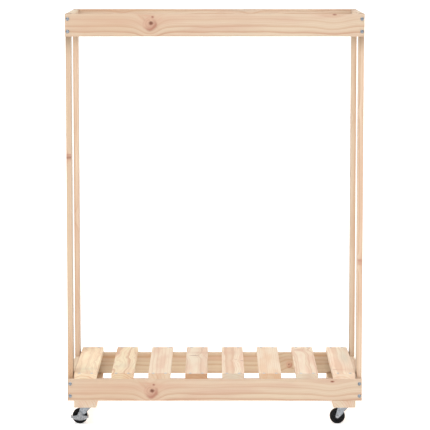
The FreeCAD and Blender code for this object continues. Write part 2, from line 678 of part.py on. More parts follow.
def draw_leg(sketch):
    """The fork's side outline: level top, upright nose, slanted web and a round end at the axle."""
    top = f"-{CROWN_TOP}"
    nose_foot = f"-{CROWN_FOOT}"
    centre = FreeCAD.Vector(-value("sizes.swivel_offset"), -value(AXLE_DROP), 0)
    radius = value("sizes.fork_tip_radius")
    back_top = FreeCAD.Vector(-value("sizes.crown_back"), value(top), 0)
    front_top = FreeCAD.Vector(value("sizes.crown_front"), value(top), 0)
    front_low = FreeCAD.Vector(value("sizes.crown_front"), value(nose_foot), 0)
    touch_front = tangent_point(centre, radius, front_low, -1)
    touch_back = tangent_point(centre, radius, back_top, 1)
    start = math.atan2(touch_back.y - centre.y, touch_back.x - centre.x)
    stop = math.atan2(touch_front.y - centre.y, touch_front.x - centre.x)
    tip = Part.ArcOfCircle(Part.Circle(centre, AXIS_Z, radius), start, stop)
    sketch.addGeometry([
        Part.LineSegment(back_top, front_top),
        Part.LineSegment(front_top, front_low),
        Part.LineSegment(front_low, touch_front),
        tip,
        Part.LineSegment(touch_back, back_top),
    ], False)
    hold_point(sketch, 0, 1, "-sizes.crown_back", top)
    hold_point(sketch, 1, 1, "sizes.crown_front", top)
    hold_point(sketch, 2, 1, "sizes.crown_front", nose_foot)
    hold_point(sketch, 3, 3, "-sizes.swivel_offset", f"-{AXLE_DROP}")
    sketch.addConstraint([
        Sketcher.Constraint("Coincident", 0, 2, 1, 1),
        Sketcher.Constraint("Coincident", 1, 2, 2, 1),
        Sketcher.Constraint("Tangent", 2, 2, 3, 2),
        Sketcher.Constraint("Tangent", 3, 1, 4, 1),
        Sketcher.Constraint("Coincident", 4, 2, 0, 1),
    ])
    index = sketch.addConstraint(Sketcher.Constraint("Radius", 3, radius))
    sketch.setExpression(f"Constraints[{index}]", "sizes.fork_tip_radius")


def make_fork(name, braked):
    """Pressed fork: a crown, two flat legs and a curved web that joins them ahead of the wheel."""
    body = new_body(f"caster_{name}_fork")
    side = new_sketch(body, "side", "XZ_Plane")
    draw_leg(side)
    add_pad(body, side, "sizes.fork_width", both_ways=True)

    # the web's slope, from the nose's foot down to the leg's round end
    slope = next(edge for edge in body.Shape.Edges
                 if isinstance(edge.Curve, Part.Line)
                 and abs(edge.Vertexes[0].Point.y - edge.Vertexes[1].Point.y) < 1e-6
                 and min(abs(vertex.Point.z + value(CROWN_FOOT)) for vertex in edge.Vertexes) < 1e-6
                 and not is_line_along(edge, AXIS_Z))
    down = slope.Curve.Direction
    if down.z > 0:
        down = down * -1
    tilt = math.degrees(math.atan2(-down.z, -down.x))
    inner_shift = value("sizes.fork_sheet") / math.sin(math.radians(tilt))
    inner_front = f"sizes.crown_front - {inner_shift}"
    reach = f"(2 * {AXLE_DROP})"
    run = f"{reach} / tan({tilt} deg)"
    cavity = new_sketch(body, "cavity", "XZ_Plane")
    draw_polygon(cavity, (
        (f"-{reach}", f"-{CROWN_FOOT}"),
        (inner_front, f"-{CROWN_FOOT}"),
        (f"{inner_front} - {run}", f"-{CROWN_FOOT} - {reach}"),
        (f"-{reach}", f"-{CROWN_FOOT} - {reach}"),
    ))
    add_pocket(body, cavity, "sizes.fork_width - 2 * sizes.fork_sheet", both_ways=True)
    inner_face = value(f"{LEG_FACE} - sizes.fork_sheet")
    add_edge_feature(body, "Fillet", lambda edge: is_line_along(edge, down)
                     and abs(abs(edge.Vertexes[0].Point.y) - inner_face) < 1e-4,
                     "Radius", "sizes.web_corner - sizes.fork_sheet")

    # round the web's outer corners with a cut along its slope
    corners = body.newObject("Sketcher::SketchObject", f"{body.Name}_corners")
    support = next(item for item in body.Origin.OriginFeatures if item.Role == "XY_Plane")
    corners.AttachmentSupport = [(support, "")]
    corners.MapMode = "FlatFace"
    nose = FreeCAD.Vector(value("sizes.crown_front"), 0, -value(CROWN_FOOT))
    corners.AttachmentOffset = FreeCAD.Placement(nose, FreeCAD.Rotation(AXIS_Y, 90 - tilt))
    doc.recompute()
    for sign in (-1, 1):
        draw_corner(corners, sign)
    add_pocket(body, corners, "2 * sizes.web_reach", both_ways=True)

    round_back(body)
    room = new_sketch(body, "wheel_room", "XZ_Plane")
    draw_circle(room, "-sizes.swivel_offset", f"-{AXLE_DROP}",
                "sizes.wheel_radius + sizes.wheel_clearance")
    add_pocket(body, room, "sizes.fork_width - 2 * sizes.fork_sheet", both_ways=True)
    groove = new_sketch(body, "groove", "XZ_Plane")
    draw_circle(groove, "sizes.race_radius", f"-{CROWN_TOP} + sizes.race_gap / 2",
                "sizes.ball_radius + sizes.ball_gap")
    add_turned(body, groove, cut=True)
    bore = new_sketch(body, "bore", "XY_Plane")
    draw_circle(bore, "0", "0", "sizes.king_pin_radius + sizes.running_gap")
    add_pocket(body, bore)
    axle_hole = new_sketch(body, "axle_hole", "XZ_Plane")
    draw_circle(axle_hole, "-sizes.swivel_offset", f"-{AXLE_DROP}",
                "sizes.axle_radius + sizes.fastener_gap")
    add_pocket(body, axle_hole, "sizes.fork_width * 2", both_ways=True)
    if braked:
        pivot_hole = new_sketch(body, "pivot_hole", "XZ_Plane")
        draw_circle(pivot_hole, "-sizes.swivel_offset", f"-{AXLE_DROP} + sizes.pivot_rise",
                    "sizes.pivot_radius + sizes.fastener_gap")
        add_pocket(body, pivot_hole, "sizes.fork_width", reverse=True)
    return body


def draw_corner(sketch, sign):
    """One corner region to cut away: between the web's front, a leg's face and their rounding."""
    radius = value("sizes.web_corner")
    side = sign * value(LEG_FACE)
    inner = side - sign * radius
    over = 1.0
    centre = FreeCAD.Vector(-radius, inner, 0)
    start, stop = (0, math.pi / 2) if sign > 0 else (-math.pi / 2, 0)
    arc = Part.ArcOfCircle(Part.Circle(centre, AXIS_Z, radius), start, stop)
    points = [FreeCAD.Vector(-radius, side, 0), FreeCAD.Vector(-radius, side + sign * over, 0),
              FreeCAD.Vector(over, side + sign * over, 0), FreeCAD.Vector(over, inner, 0),
              FreeCAD.Vector(0, inner, 0)]
    first = sketch.GeometryCount
    sketch.addGeometry(arc, False)
    for index in range(len(points) - 1):
        sketch.addGeometry(Part.LineSegment(points[index], points[index + 1]), False)
    for index in range(1, len(points) - 1):
        sketch.addConstraint(Sketcher.Constraint("Coincident", first + index, 2,
                                                 first + index + 1, 1))
    arc_at_side, arc_at_front = (2, 1) if sign > 0 else (1, 2)
    sketch.addConstraint(Sketcher.Constraint("Coincident", first, arc_at_side, first + 1, 1))
    sketch.addConstraint(Sketcher.Constraint("Coincident", first, arc_at_front, first + 4, 2))
    places = ((first + 1, 1, "-sizes.web_corner", f"{sign} * {LEG_FACE}"),
              (first + 1, 2, "-sizes.web_corner", f"{sign} * ({LEG_FACE} + 1)"),
              (first + 2, 2, "1", f"{sign} * ({LEG_FACE} + 1)"),
              (first + 3, 2, "1", f"{sign} * ({LEG_FACE} - sizes.web_corner)"),
              (first + 4, 2, "0", f"{sign} * ({LEG_FACE} - sizes.web_corner)"))
    for curve, point, x_place, y_place in places:
        hold_point(sketch, curve, point, x_place, y_place)
    index = sketch.addConstraint(Sketcher.Constraint("Radius", first, radius))
    sketch.setExpression(f"Constraints[{index}]", "sizes.web_corner")


def round_back(body):
    """Take the sharp corners off the back of the crown."""
    top = -value(CROWN_TOP)

    def at_back(edge):
        if not isinstance(edge.Curve, Part.Line):
            return False
        ends = [vertex.Point for vertex in edge.Vertexes]
        level = all(abs(point.z - top) < 1e-4 for point in ends)
        across = abs(ends[0].y - ends[1].y) > 1
        return level and across and all(point.x < 0 for point in ends)

    add_edge_feature(body, "Fillet", at_back, "Radius", "sizes.crown_rounding")


def make_axle(name):
    """Rivet through the fork's legs and the wheel's hub."""
    body = new_body(f"caster_{name}_axle")
    section = new_sketch(body, "section", "XY_Plane")
    seat = LEG_FACE
    end = f"({LEG_FACE} + sizes.axle_head_height)"
    step = f"({LEG_FACE} + sizes.axle_head_height / 2)"
    draw_polygon(section, (
        ("0", f"-{end}"),
        ("sizes.axle_head_radius - sizes.rivet_chamfer", f"-{end}"),
        ("sizes.axle_head_radius", f"-{step}"),
        ("sizes.axle_head_radius", f"-{seat}"),
        ("sizes.axle_radius", f"-{seat}"),
        ("sizes.axle_radius", seat),
        ("sizes.axle_head_radius", seat),
        ("sizes.axle_head_radius", step),
        ("sizes.axle_head_radius - sizes.rivet_chamfer", end),
        ("0", end),
    ))
    add_turned(body, section)
    return body


def make_wheel_core(name):
    """Moulded core: a hub, a thin disc and the rim that the tyre sits on."""
    body = new_body(f"caster_{name}_wheel_core")
    section = new_sketch(body, "section", "XY_Plane")
    bore = "(sizes.axle_radius + sizes.running_gap)"
    rim = "(sizes.core_radius - sizes.rim_thickness)"
    half_hub = "sizes.hub_width / 2"
    half_disc = "sizes.core_web / 2"
    half_rim = "sizes.core_width / 2"
    draw_polygon(section, (
        (bore, f"-{half_hub}"),
        ("sizes.hub_radius", f"-{half_hub}"),
        ("sizes.hub_radius", f"-{half_disc}"),
        (rim, f"-{half_disc}"),
        (rim, f"-{half_rim}"),
        ("sizes.core_radius", f"-{half_rim}"),
        ("sizes.core_radius", half_rim),
        (rim, half_rim),
        (rim, half_disc),
        ("sizes.hub_radius", half_disc),
        ("sizes.hub_radius", half_hub),
        (bore, half_hub),
    ))
    add_turned(body, section)
    return body


def make_tyre(name):
    """Tyre with rounded shoulders."""
    body = new_body(f"caster_{name}_tyre")
    section = new_sketch(body, "section", "XY_Plane")
    half = "sizes.tyre_width / 2"
    draw_rectangle(section, "sizes.core_radius", "sizes.wheel_radius", f"-{half}", half)
    add_turned(body, section)
    outer = value("sizes.wheel_radius")
    add_edge_feature(body, "Fillet", lambda edge: isinstance(edge.Curve, Part.Circle)
                     and abs(edge.Curve.Radius - outer) < 1e-6, "Radius", "sizes.tyre_shoulder")
    return body


def make_pivot(name):
    """Shouldered rivet that the brake pedal rocks on."""
    body = new_body(f"caster_{name}_brake_pivot")
    section = new_sketch(body, "section", "XY_Plane")
    leg_inside = f"-({LEG_FACE} - sizes.fork_sheet)"
    shoulder = f"-({PEDAL_FACE} - sizes.end_gap / 2)"
    pedal_outside = f"-({PEDAL_FACE} + sizes.pedal_sheet + sizes.end_gap / 2)"
    draw_polygon(section, (
        ("0", f"{leg_inside} + sizes.pivot_inner_head"),
        ("sizes.pivot_head_radius", f"{leg_inside} + sizes.pivot_inner_head"),
        ("sizes.pivot_head_radius", leg_inside),
        ("sizes.pivot_radius", leg_inside),
        ("sizes.pivot_radius", f"-{LEG_FACE}"),
        ("sizes.pivot_head_radius", f"-{LEG_FACE}"),
        ("sizes.pivot_head_radius", shoulder),
        ("sizes.pivot_radius", shoulder),
        ("sizes.pivot_radius", pedal_outside),
        ("sizes.pivot_head_radius", pedal_outside),
        ("sizes.pivot_head_radius", f"{pedal_outside} - sizes.pivot_outer_head / 2"),
        ("sizes.pivot_head_radius - sizes.rivet_chamfer", f"{pedal_outside} - sizes.pivot_outer_head"),
        ("0", f"{pedal_outside} - sizes.pivot_outer_head"),
    ))
    add_turned(body, section)
    return body


def make_pedal(name):
    """Rocking brake pedal: a boat-shaped plate, an ear on the pivot, two shoes and two foot rests.

    It is drawn about the axle, in the plane of the wheel.
    """
    body = new_body(f"caster_{name}_brake_pedal")
    half = PEDAL_HALF
    plate = new_sketch(body, "plate", "XZ_Plane", PEDAL_FACE)
    half_length = value(half)
    tip_low = -value("sizes.pedal_tip_drop")
    keel = -value("sizes.pedal_keel_drop")
    corner = {
        "low_right": FreeCAD.Vector(half_length, tip_low, 0),
        "tip_right": FreeCAD.Vector(half_length, value("sizes.pedal_tip_rise"), 0),
        "waist_right": FreeCAD.Vector(value("sizes.pedal_waist_half"),
                                      value("sizes.pedal_waist_rise"), 0),
    }
    for part in ("low", "tip", "waist"):
        right = corner[f"{part}_right"]
        corner[f"{part}_left"] = FreeCAD.Vector(-right.x, right.y, 0)
    belly = Part.Arc(corner["low_left"], FreeCAD.Vector(0, keel, 0), corner["low_right"])
    around = ("low_right", "tip_right", "waist_right", "waist_left", "tip_left", "low_left")
    plate.addGeometry(belly, False)
    for start, stop in zip(around, around[1:]):
        plate.addGeometry(Part.LineSegment(corner[start], corner[stop]), False)
    places = {
        "low_right": (half, "-sizes.pedal_tip_drop"),
        "tip_right": (half, "sizes.pedal_tip_rise"),
        "waist_right": ("sizes.pedal_waist_half", "sizes.pedal_waist_rise"),
        "waist_left": ("-sizes.pedal_waist_half", "sizes.pedal_waist_rise"),
        "tip_left": (f"-{half}", "sizes.pedal_tip_rise"),
        "low_left": (f"-{half}", "-sizes.pedal_tip_drop"),
    }
    for index, name_here in enumerate(around[:-1], start=1):
        hold_point(plate, index, 1, *places[name_here])
    hold_point(plate, len(around) - 1, 2, *places["low_left"])
    for index in range(1, len(around) - 1):
        plate.addConstraint(Sketcher.Constraint("Coincident", index, 2, index + 1, 1))
    plate.addConstraint([Sketcher.Constraint("Coincident", 0, 2, 1, 1),
                         Sketcher.Constraint("Coincident", 0, 1, len(around) - 1, 2)])
    rise = "(sizes.pedal_keel_drop - sizes.pedal_tip_drop)"
    belly_radius = f"({half} * {half} + {rise} * {rise}) / (2 * {rise})"
    index = plate.addConstraint(Sketcher.Constraint("Radius", 0, value(belly_radius)))
    plate.setExpression(f"Constraints[{index}]", belly_radius)
    add_pad(body, plate, "sizes.pedal_sheet")

    ear = new_sketch(body, "ear", "XZ_Plane", PEDAL_FACE)
    draw_circle(ear, "0", "sizes.pivot_rise", "sizes.pedal_ear_radius")
    add_pad(body, ear, "sizes.pedal_sheet")
    neck = new_sketch(body, "neck", "XZ_Plane", PEDAL_FACE)
    draw_polygon(neck, (
        ("-sizes.pedal_waist_half + 1", "0"),
        ("sizes.pedal_waist_half - 1", "0"),
        ("sizes.pedal_waist_half - 1", "sizes.pedal_waist_rise"),
        ("sizes.pedal_ear_radius", "sizes.pivot_rise"),
        ("-sizes.pedal_ear_radius", "sizes.pivot_rise"),
        ("-sizes.pedal_waist_half + 1", "sizes.pedal_waist_rise"),
    ))
    add_pad(body, neck, "sizes.pedal_sheet")

    rests = new_sketch(body, "foot_rests", "XZ_Plane", PEDAL_FACE)
    for sign in (-1, 1):
        draw_polygon(rests, (
            (f"{sign} * {half}", "sizes.pedal_tip_rise - sizes.pedal_sheet"),
            (f"{sign} * sizes.pedal_waist_half",
             "sizes.pedal_waist_rise - sizes.pedal_sheet"),
            (f"{sign} * sizes.pedal_waist_half", "sizes.pedal_waist_rise"),
            (f"{sign} * {half}", "sizes.pedal_tip_rise"),
        ))
    add_pad(body, rests, "sizes.pedal_sheet + sizes.tread_depth")

    shoes = new_sketch(body, "shoes", "XZ_Plane", PEDAL_FACE)
    draw_circle(shoes, "0", "0", half)
    draw_circle(shoes, "0", "0", SHOE_RADIUS)
    add_pad(body, shoes, "sizes.shoe_length", reverse=True)
    trim = new_sketch(body, "shoe_trim", "XZ_Plane", PEDAL_FACE)
    draw_rectangle(trim, f"-{half} * 2", f"{half} * 2", "sizes.shoe_rise", f"{half} * 2")
    draw_rectangle(trim, f"-{half} * 2", f"{half} * 2", f"-{half} * 2", "-sizes.shoe_drop")
    add_pocket(body, trim, "sizes.shoe_length")
    bore = new_sketch(body, "bore", "XZ_Plane", PEDAL_FACE)
    draw_circle(bore, "0", "sizes.pivot_rise", "sizes.pivot_radius + sizes.running_gap")
    add_pocket(body, bore, "sizes.pedal_sheet * 2", both_ways=True)
    return body


def make_casters():
    """Four casters with their wheels trailing to the left; two of them have a brake."""
    for end, end_sign in ENDS:
        for side, side_sign in SIDES:
            name = f"{end}_{side}"
            braked = name in BRAKED_CASTERS
            x_place = f"{side_sign} * {CASTER_X}"
            y_place = f"{end_sign} * {CASTER_Y}"
            axle_x = f"{x_place} - sizes.swivel_offset"
            axle_z = "sizes.wheel_radius"
            put(make_plate(name), x_place, y_place, "sizes.caster_height")
            put(make_king_pin(name), x_place, y_place, "sizes.caster_height")
            put(make_balls(name), x_place, y_place, "sizes.caster_height")
            put(make_fork(name, braked), x_place, y_place, "sizes.caster_height")
            put(make_axle(name), axle_x, y_place, axle_z)
            put(make_wheel_core(name), axle_x, y_place, axle_z)
            put(make_tyre(name), axle_x, y_place, axle_z)
            if braked:
                put(make_pivot(name), axle_x, y_place, f"{axle_z} + sizes.pivot_rise")
                put(make_pedal(name), axle_x, y_place, axle_z)


def check_document():
    """Stop if any object failed or any sub-part is empty or broken."""
    doc.recompute()
    for item in doc.Objects:
        if "Invalid" in item.State or "Error" in item.State:
            raise RuntimeError(f"{item.Name} failed: {item.State}")
    for item in subparts:
        if item.Shape.isNull() or not item.Shape.isValid() or item.Shape.Volume <= 0:
            raise RuntimeError(f"{item.Label} has no valid shape")


make_rails()
make_posts()
make_side_boards()
make_slats()
make_caster_boards()
make_frame_fasteners()
make_casters()
check_document()

os.makedirs("parts", exist_ok=True)
for item in subparts:
    item.Shape.exportStep(f"parts/{item.Label}.step")
print(f"{len(subparts)} sub-parts written")
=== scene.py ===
"""Firewood log rack in planed pine: the looks of the boards, fasteners and casters.

Lengths are millimetres in every class and table here and become metres where a mesh, a light
or a texture place is made.  Frame: +Z up, front of the rack at -Y, width along X, floor at 0.
"""
import logging
import math
from dataclasses import dataclass, field, replace
from enum import Enum
from typing import Iterable, Sequence, Union

import bmesh
import bpy
from mathutils import Matrix, Vector


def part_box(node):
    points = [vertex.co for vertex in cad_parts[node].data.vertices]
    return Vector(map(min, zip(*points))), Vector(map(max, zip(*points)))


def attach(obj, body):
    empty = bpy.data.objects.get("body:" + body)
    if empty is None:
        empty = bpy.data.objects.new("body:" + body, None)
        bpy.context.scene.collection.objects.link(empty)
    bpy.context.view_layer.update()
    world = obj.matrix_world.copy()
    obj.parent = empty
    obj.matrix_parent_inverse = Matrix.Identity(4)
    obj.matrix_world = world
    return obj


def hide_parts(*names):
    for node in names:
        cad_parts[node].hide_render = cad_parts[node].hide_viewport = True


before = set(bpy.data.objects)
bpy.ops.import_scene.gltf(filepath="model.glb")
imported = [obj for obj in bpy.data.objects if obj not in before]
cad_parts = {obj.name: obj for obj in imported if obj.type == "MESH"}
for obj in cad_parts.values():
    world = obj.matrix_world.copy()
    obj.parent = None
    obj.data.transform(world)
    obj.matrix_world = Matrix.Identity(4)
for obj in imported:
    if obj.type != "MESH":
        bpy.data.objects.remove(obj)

LOG = logging.getLogger("log_rack")
MM = 0.001
LATHE_STEPS = 120          # steps round a wheel
RIM_STEPS = 32             # steps round a screw head's rim
BEAD_STEPS = 6             # steps across a pressed bead
BEAD_SUNK = 0.12           # how far a bead's edges are sunk into the face
THROUGH = 1000.0           # a stain this deep goes through the whole board

Colour = tuple[float, float, float]


def tone(red: float, green: float, blue: float) -> Colour:
    """Turns a colour as a paint card gives it, 0 to 255, into scene-linear numbers.

    Args:
        red: Red, 0 to 255.
        green: Green, 0 to 255.
        blue: Blue, 0 to 255.

    Returns:
        The same colour as three linear numbers.
    """
    def straight(value: float) -> float:
        """Undoes the display curve for one channel."""
        share = value / 255
        return share / 12.92 if share <= 0.04045 else ((share + 0.055) / 1.055) ** 2.4

    return straight(red), straight(green), straight(blue)


# ---------------------------------------------------------------------------
# Shader building
# ---------------------------------------------------------------------------

class Signal:
    """One value inside a material.  Arithmetic on it adds Math nodes."""

    def __init__(self, graph: "Graph", socket: bpy.types.NodeSocket) -> None:
        """Wraps an output socket.

        Args:
            graph: The graph that the socket belongs to.
            socket: The output socket.
        """
        self.graph = graph
        self.socket = socket

    def math(self, operation: str, *operands: "Operand") -> "Signal":
        """Adds one Math node.

        Args:
            operation: The Math node's operation.
            operands: Its inputs, in order.

        Returns:
            The node's result.
        """
        return self.graph.signal("ShaderNodeMath", {"operation": operation},
                                 dict(enumerate(operands)))

    def __add__(self, other: "Operand") -> "Signal":
        """self + other"""
        return self.math("ADD", self, other)

    def __radd__(self, other: "Operand") -> "Signal":
        """other + self"""
        return self.math("ADD", other, self)

    def __sub__(self, other: "Operand") -> "Signal":
        """self - other"""
        return self.math("SUBTRACT", self, other)

    def __rsub__(self, other: "Operand") -> "Signal":
        """other - self"""
        return self.math("SUBTRACT", other, self)

    def __mul__(self, other: "Operand") -> "Signal":
        """self * other"""
        return self.math("MULTIPLY", self, other)

    def __rmul__(self, other: "Operand") -> "Signal":
        """other * self"""
        return self.math("MULTIPLY", other, self)

    def __pow__(self, other: "Operand") -> "Signal":
        """self to the power of other"""
        return self.math("POWER", self, other)

    def floor(self) -> "Signal":
        """The whole number below."""
        return self.math("FLOOR", self)

    def size(self) -> "Signal":
        """The value without its sign."""
        return self.math("ABSOLUTE", self)

    def sine(self) -> "Signal":
        """Sine of the value in radians."""
        return self.math("SINE", self)

    def falloff(self) -> "Signal":
        """e to the power of minus the value: 1 at 0, fading to 0."""
        return self.math("EXPONENT", self * -1.0)

    def least(self, other: "Operand") -> "Signal":
        """The smaller of two values."""
        return self.math("MINIMUM", self, other)

    def most(self, other: "Operand") -> "Signal":
        """The larger of two values."""
        return self.math("MAXIMUM", self, other)

    def rise(self, low: float, high: float) -> "Signal":
        """A smooth step.

        Args:
            low: Where the step begins.
            high: Where the step ends.

        Returns:
            0 up to low, 1 from high on.
        """
        return self.graph.signal("ShaderNodeMapRange", {"interpolation_type": "SMOOTHSTEP"},
                                 {"Value": self, "From Min": low, "From Max": high})


Operand = Union[Signal, float]


class Graph:
    """The nodes of one material or world."""

    def __init__(self, owner: Union[bpy.types.Material, bpy.types.World]) -> None:
        """Starts with an empty node tree.

        Args:
            owner: The material or world to fill.
        """
        owner.use_nodes = True
        self.tree = owner.node_tree
        self.tree.nodes.clear()

    def node(self, kind: str, settings: dict[str, object],
             inputs: dict[Union[str, int], object]) -> bpy.types.Node:
        """Adds any node.

        Args:
            kind: The node's type.
            settings: Properties that are set first.
            inputs: A value or a link for each named or numbered input.

        Returns:
            The new node.
        """
        made = self.tree.nodes.new(kind)
        for key, setting in settings.items():
            setattr(made, key, setting)
        for key, given in inputs.items():
            socket = self._find(made.inputs, key)
            if isinstance(given, Signal):
                self.tree.links.new(given.socket, socket)
            elif isinstance(given, tuple) and len(given) == 3 and socket.type == "RGBA":
                socket.default_value = (*given, 1.0)
            else:
                socket.default_value = given
        return made

    def signal(self, kind: str, settings: dict[str, object],
               inputs: dict[Union[str, int], object], output: Union[str, int] = 0) -> Signal:
        """Adds any node and returns one of its results.

        Args:
            kind: The node's type.
            settings: Properties that are set first.
            inputs: A value or a link for each input.
            output: The name or number of the result.

        Returns:
            That result.
        """
        made = self.node(kind, settings, inputs)
        return Signal(self, self._find(made.outputs, output))

    @staticmethod
    def _find(sockets: Iterable[bpy.types.NodeSocket],
              key: Union[str, int]) -> bpy.types.NodeSocket:
        """Finds a socket by number, identifier or name."""
        if isinstance(key, int):
            return list(sockets)[key]
        for socket in sockets:
            if socket.identifier == key:
                return socket
        return next(socket for socket in sockets if socket.name == key and socket.enabled)

    def mix(self, amount: Operand, first: object, second: object,
            blend: str = "MIX") -> Signal:
        """Blends two colours.

        Args:
            amount: 0 for the first, 1 for the second.
            first: The first colour.
            second: The second colour.
            blend: The Mix node's blend type.

        Returns:
            The blended colour.
        """
        return self.signal(
            "ShaderNodeMix",
            {"data_type": "RGBA", "blend_type": blend, "clamp_factor": True},
            {"Factor_Float": amount, "A_Color": first, "B_Color": second}, "Result_Color")

    def vector(self, operation: str, first: object, second: object) -> Signal:
        """Adds a Vector Math node.

        Args:
            operation: The node's operation; SCALE takes a number as its second operand.
            first: The first vector.
            second: The second vector, or the number for SCALE.

        Returns:
            The resulting vector.
        """
        key = "Scale" if operation == "SCALE" else 1
        return self.signal("ShaderNodeVectorMath", {"operation": operation},
                           {0: first, key: second}, "Vector")

    def noise(self, place: Signal, grain: tuple[float, float, float], seed: float,
              detail: float = 2.0, output: int = 0) -> Signal:
        """Cloudy noise whose lumps have a given size along each axis.

        Args:
            place: The place in millimetres.
            grain: The size of the lumps along the three axes, in millimetres.
            seed: Moves to another part of the noise.
            detail: How many finer layers it has.
            output: 0 for the value, 1 for the colour.

        Returns:
            The noise, about 0 to 1.
        """
        moved = self.signal(
            "ShaderNodeMapping", {},
            {"Vector": place, "Location": (seed * 7.31, seed * 3.17, seed * 5.71),
             "Scale": tuple(1.0 / size for size in grain)})
        return self.signal("ShaderNodeTexNoise", {},
                           {"Vector": moved, "Scale": 1.0, "Detail": detail}, output)

    def chance(self, number: Signal) -> Signal:
        """A random value from 0 to 1 for each whole number."""
        return self.signal("ShaderNodeTexWhiteNoise", {"noise_dimensions": "1D"},
                           {"W": number})

    def bump(self, height: Signal, depth: float, strength: float) -> Signal:
        """A normal from a height.

        Args:
            height: The height, about 0 to 1.
            depth: The relief's depth in millimetres.
            strength: How much of it shows.

        Returns:
            The normal.
        """
        return self.signal("ShaderNodeBump", {},
                           {"Height": height, "Distance": depth * MM, "Strength": strength})

    def place(self) -> Signal:
        """The place on the object in millimetres."""
        raw = self.signal("ShaderNodeTexCoord", {}, {}, "Object")
        return self.vector("SCALE", raw, 1 / MM)

    def split(self, vector: Signal) -> list[Signal]:
        """The three parts of a vector."""
        made = self.node("ShaderNodeSeparateXYZ", {}, {0: vector})
        return [Signal(self, socket) for socket in made.outputs]

    def surface(self, varying: dict[str, object], fixed: dict[str, object]) -> None:
        """Ends a material in its shader.

        Args:
            varying: What changes over the surface.
            fixed: What is the same all over.
        """
        shader = self.signal("ShaderNodeBsdfPrincipled", {}, {**fixed, **varying})
        self.node("ShaderNodeOutputMaterial", {}, {"Surface": shader})


def new_material(name: str) -> tuple[bpy.types.Material, Graph]:
    """Makes an empty material.

    Args:
        name: Its name.

    Returns:
        The material and its graph.
    """
    material = bpy.data.materials.new(name)
    return material, Graph(material)


def dress(name: str, material: bpy.types.Material) -> None:
    """Gives a CAD node a material in every slot.

    Args:
        name: The node.
        material: The finish.
    """
    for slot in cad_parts[name].material_slots:
        slot.link = "OBJECT"
        slot.material = material
    LOG.info("%s: %s", name, material.name)


def fit(made: bpy.types.Object, look: bpy.types.Material, body: str) -> None:
    """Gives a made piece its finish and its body.

    Args:
        made: The piece.
        look: Its finish.
        body: The body it rides on.
    """
    made.data.materials.append(look)
    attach(made, body)
    LOG.info("%s: %d faces", made.name, len(made.data.polygons))


# ---------------------------------------------------------------------------
# Pine
# ---------------------------------------------------------------------------

class Lie(Enum):
    """How a board lies: the axes of its length, its width and its thickness."""

    RAIL = (0, 2, 1)
    POST = (2, 1, 0)
    SIDE_BOARD = (1, 2, 0)
    DECK = (1, 0, 2)


@dataclass(frozen=True)
class Knot:
    """A branch cut through by the board, with the grain swept round it."""

    along: float
    across: float
    half_long: float
    half_wide: float
    sweep: float = 0.0
    reach: float = 26.0
    depth: float = 1.0
    core: float = 0.25
    red: float = 1.0
    dark_side: float = -50.0


@dataclass(frozen=True)
class Patch:
    """A soft stain or streak in the wood, or a patch of painted shade or painted shadow."""

    along: float
    across: float
    half_long: float
    half_wide: float
    tint: Colour
    amount: float
    turn: float = 0.0
    deep: float = 0.0
    half_deep: float = THROUGH


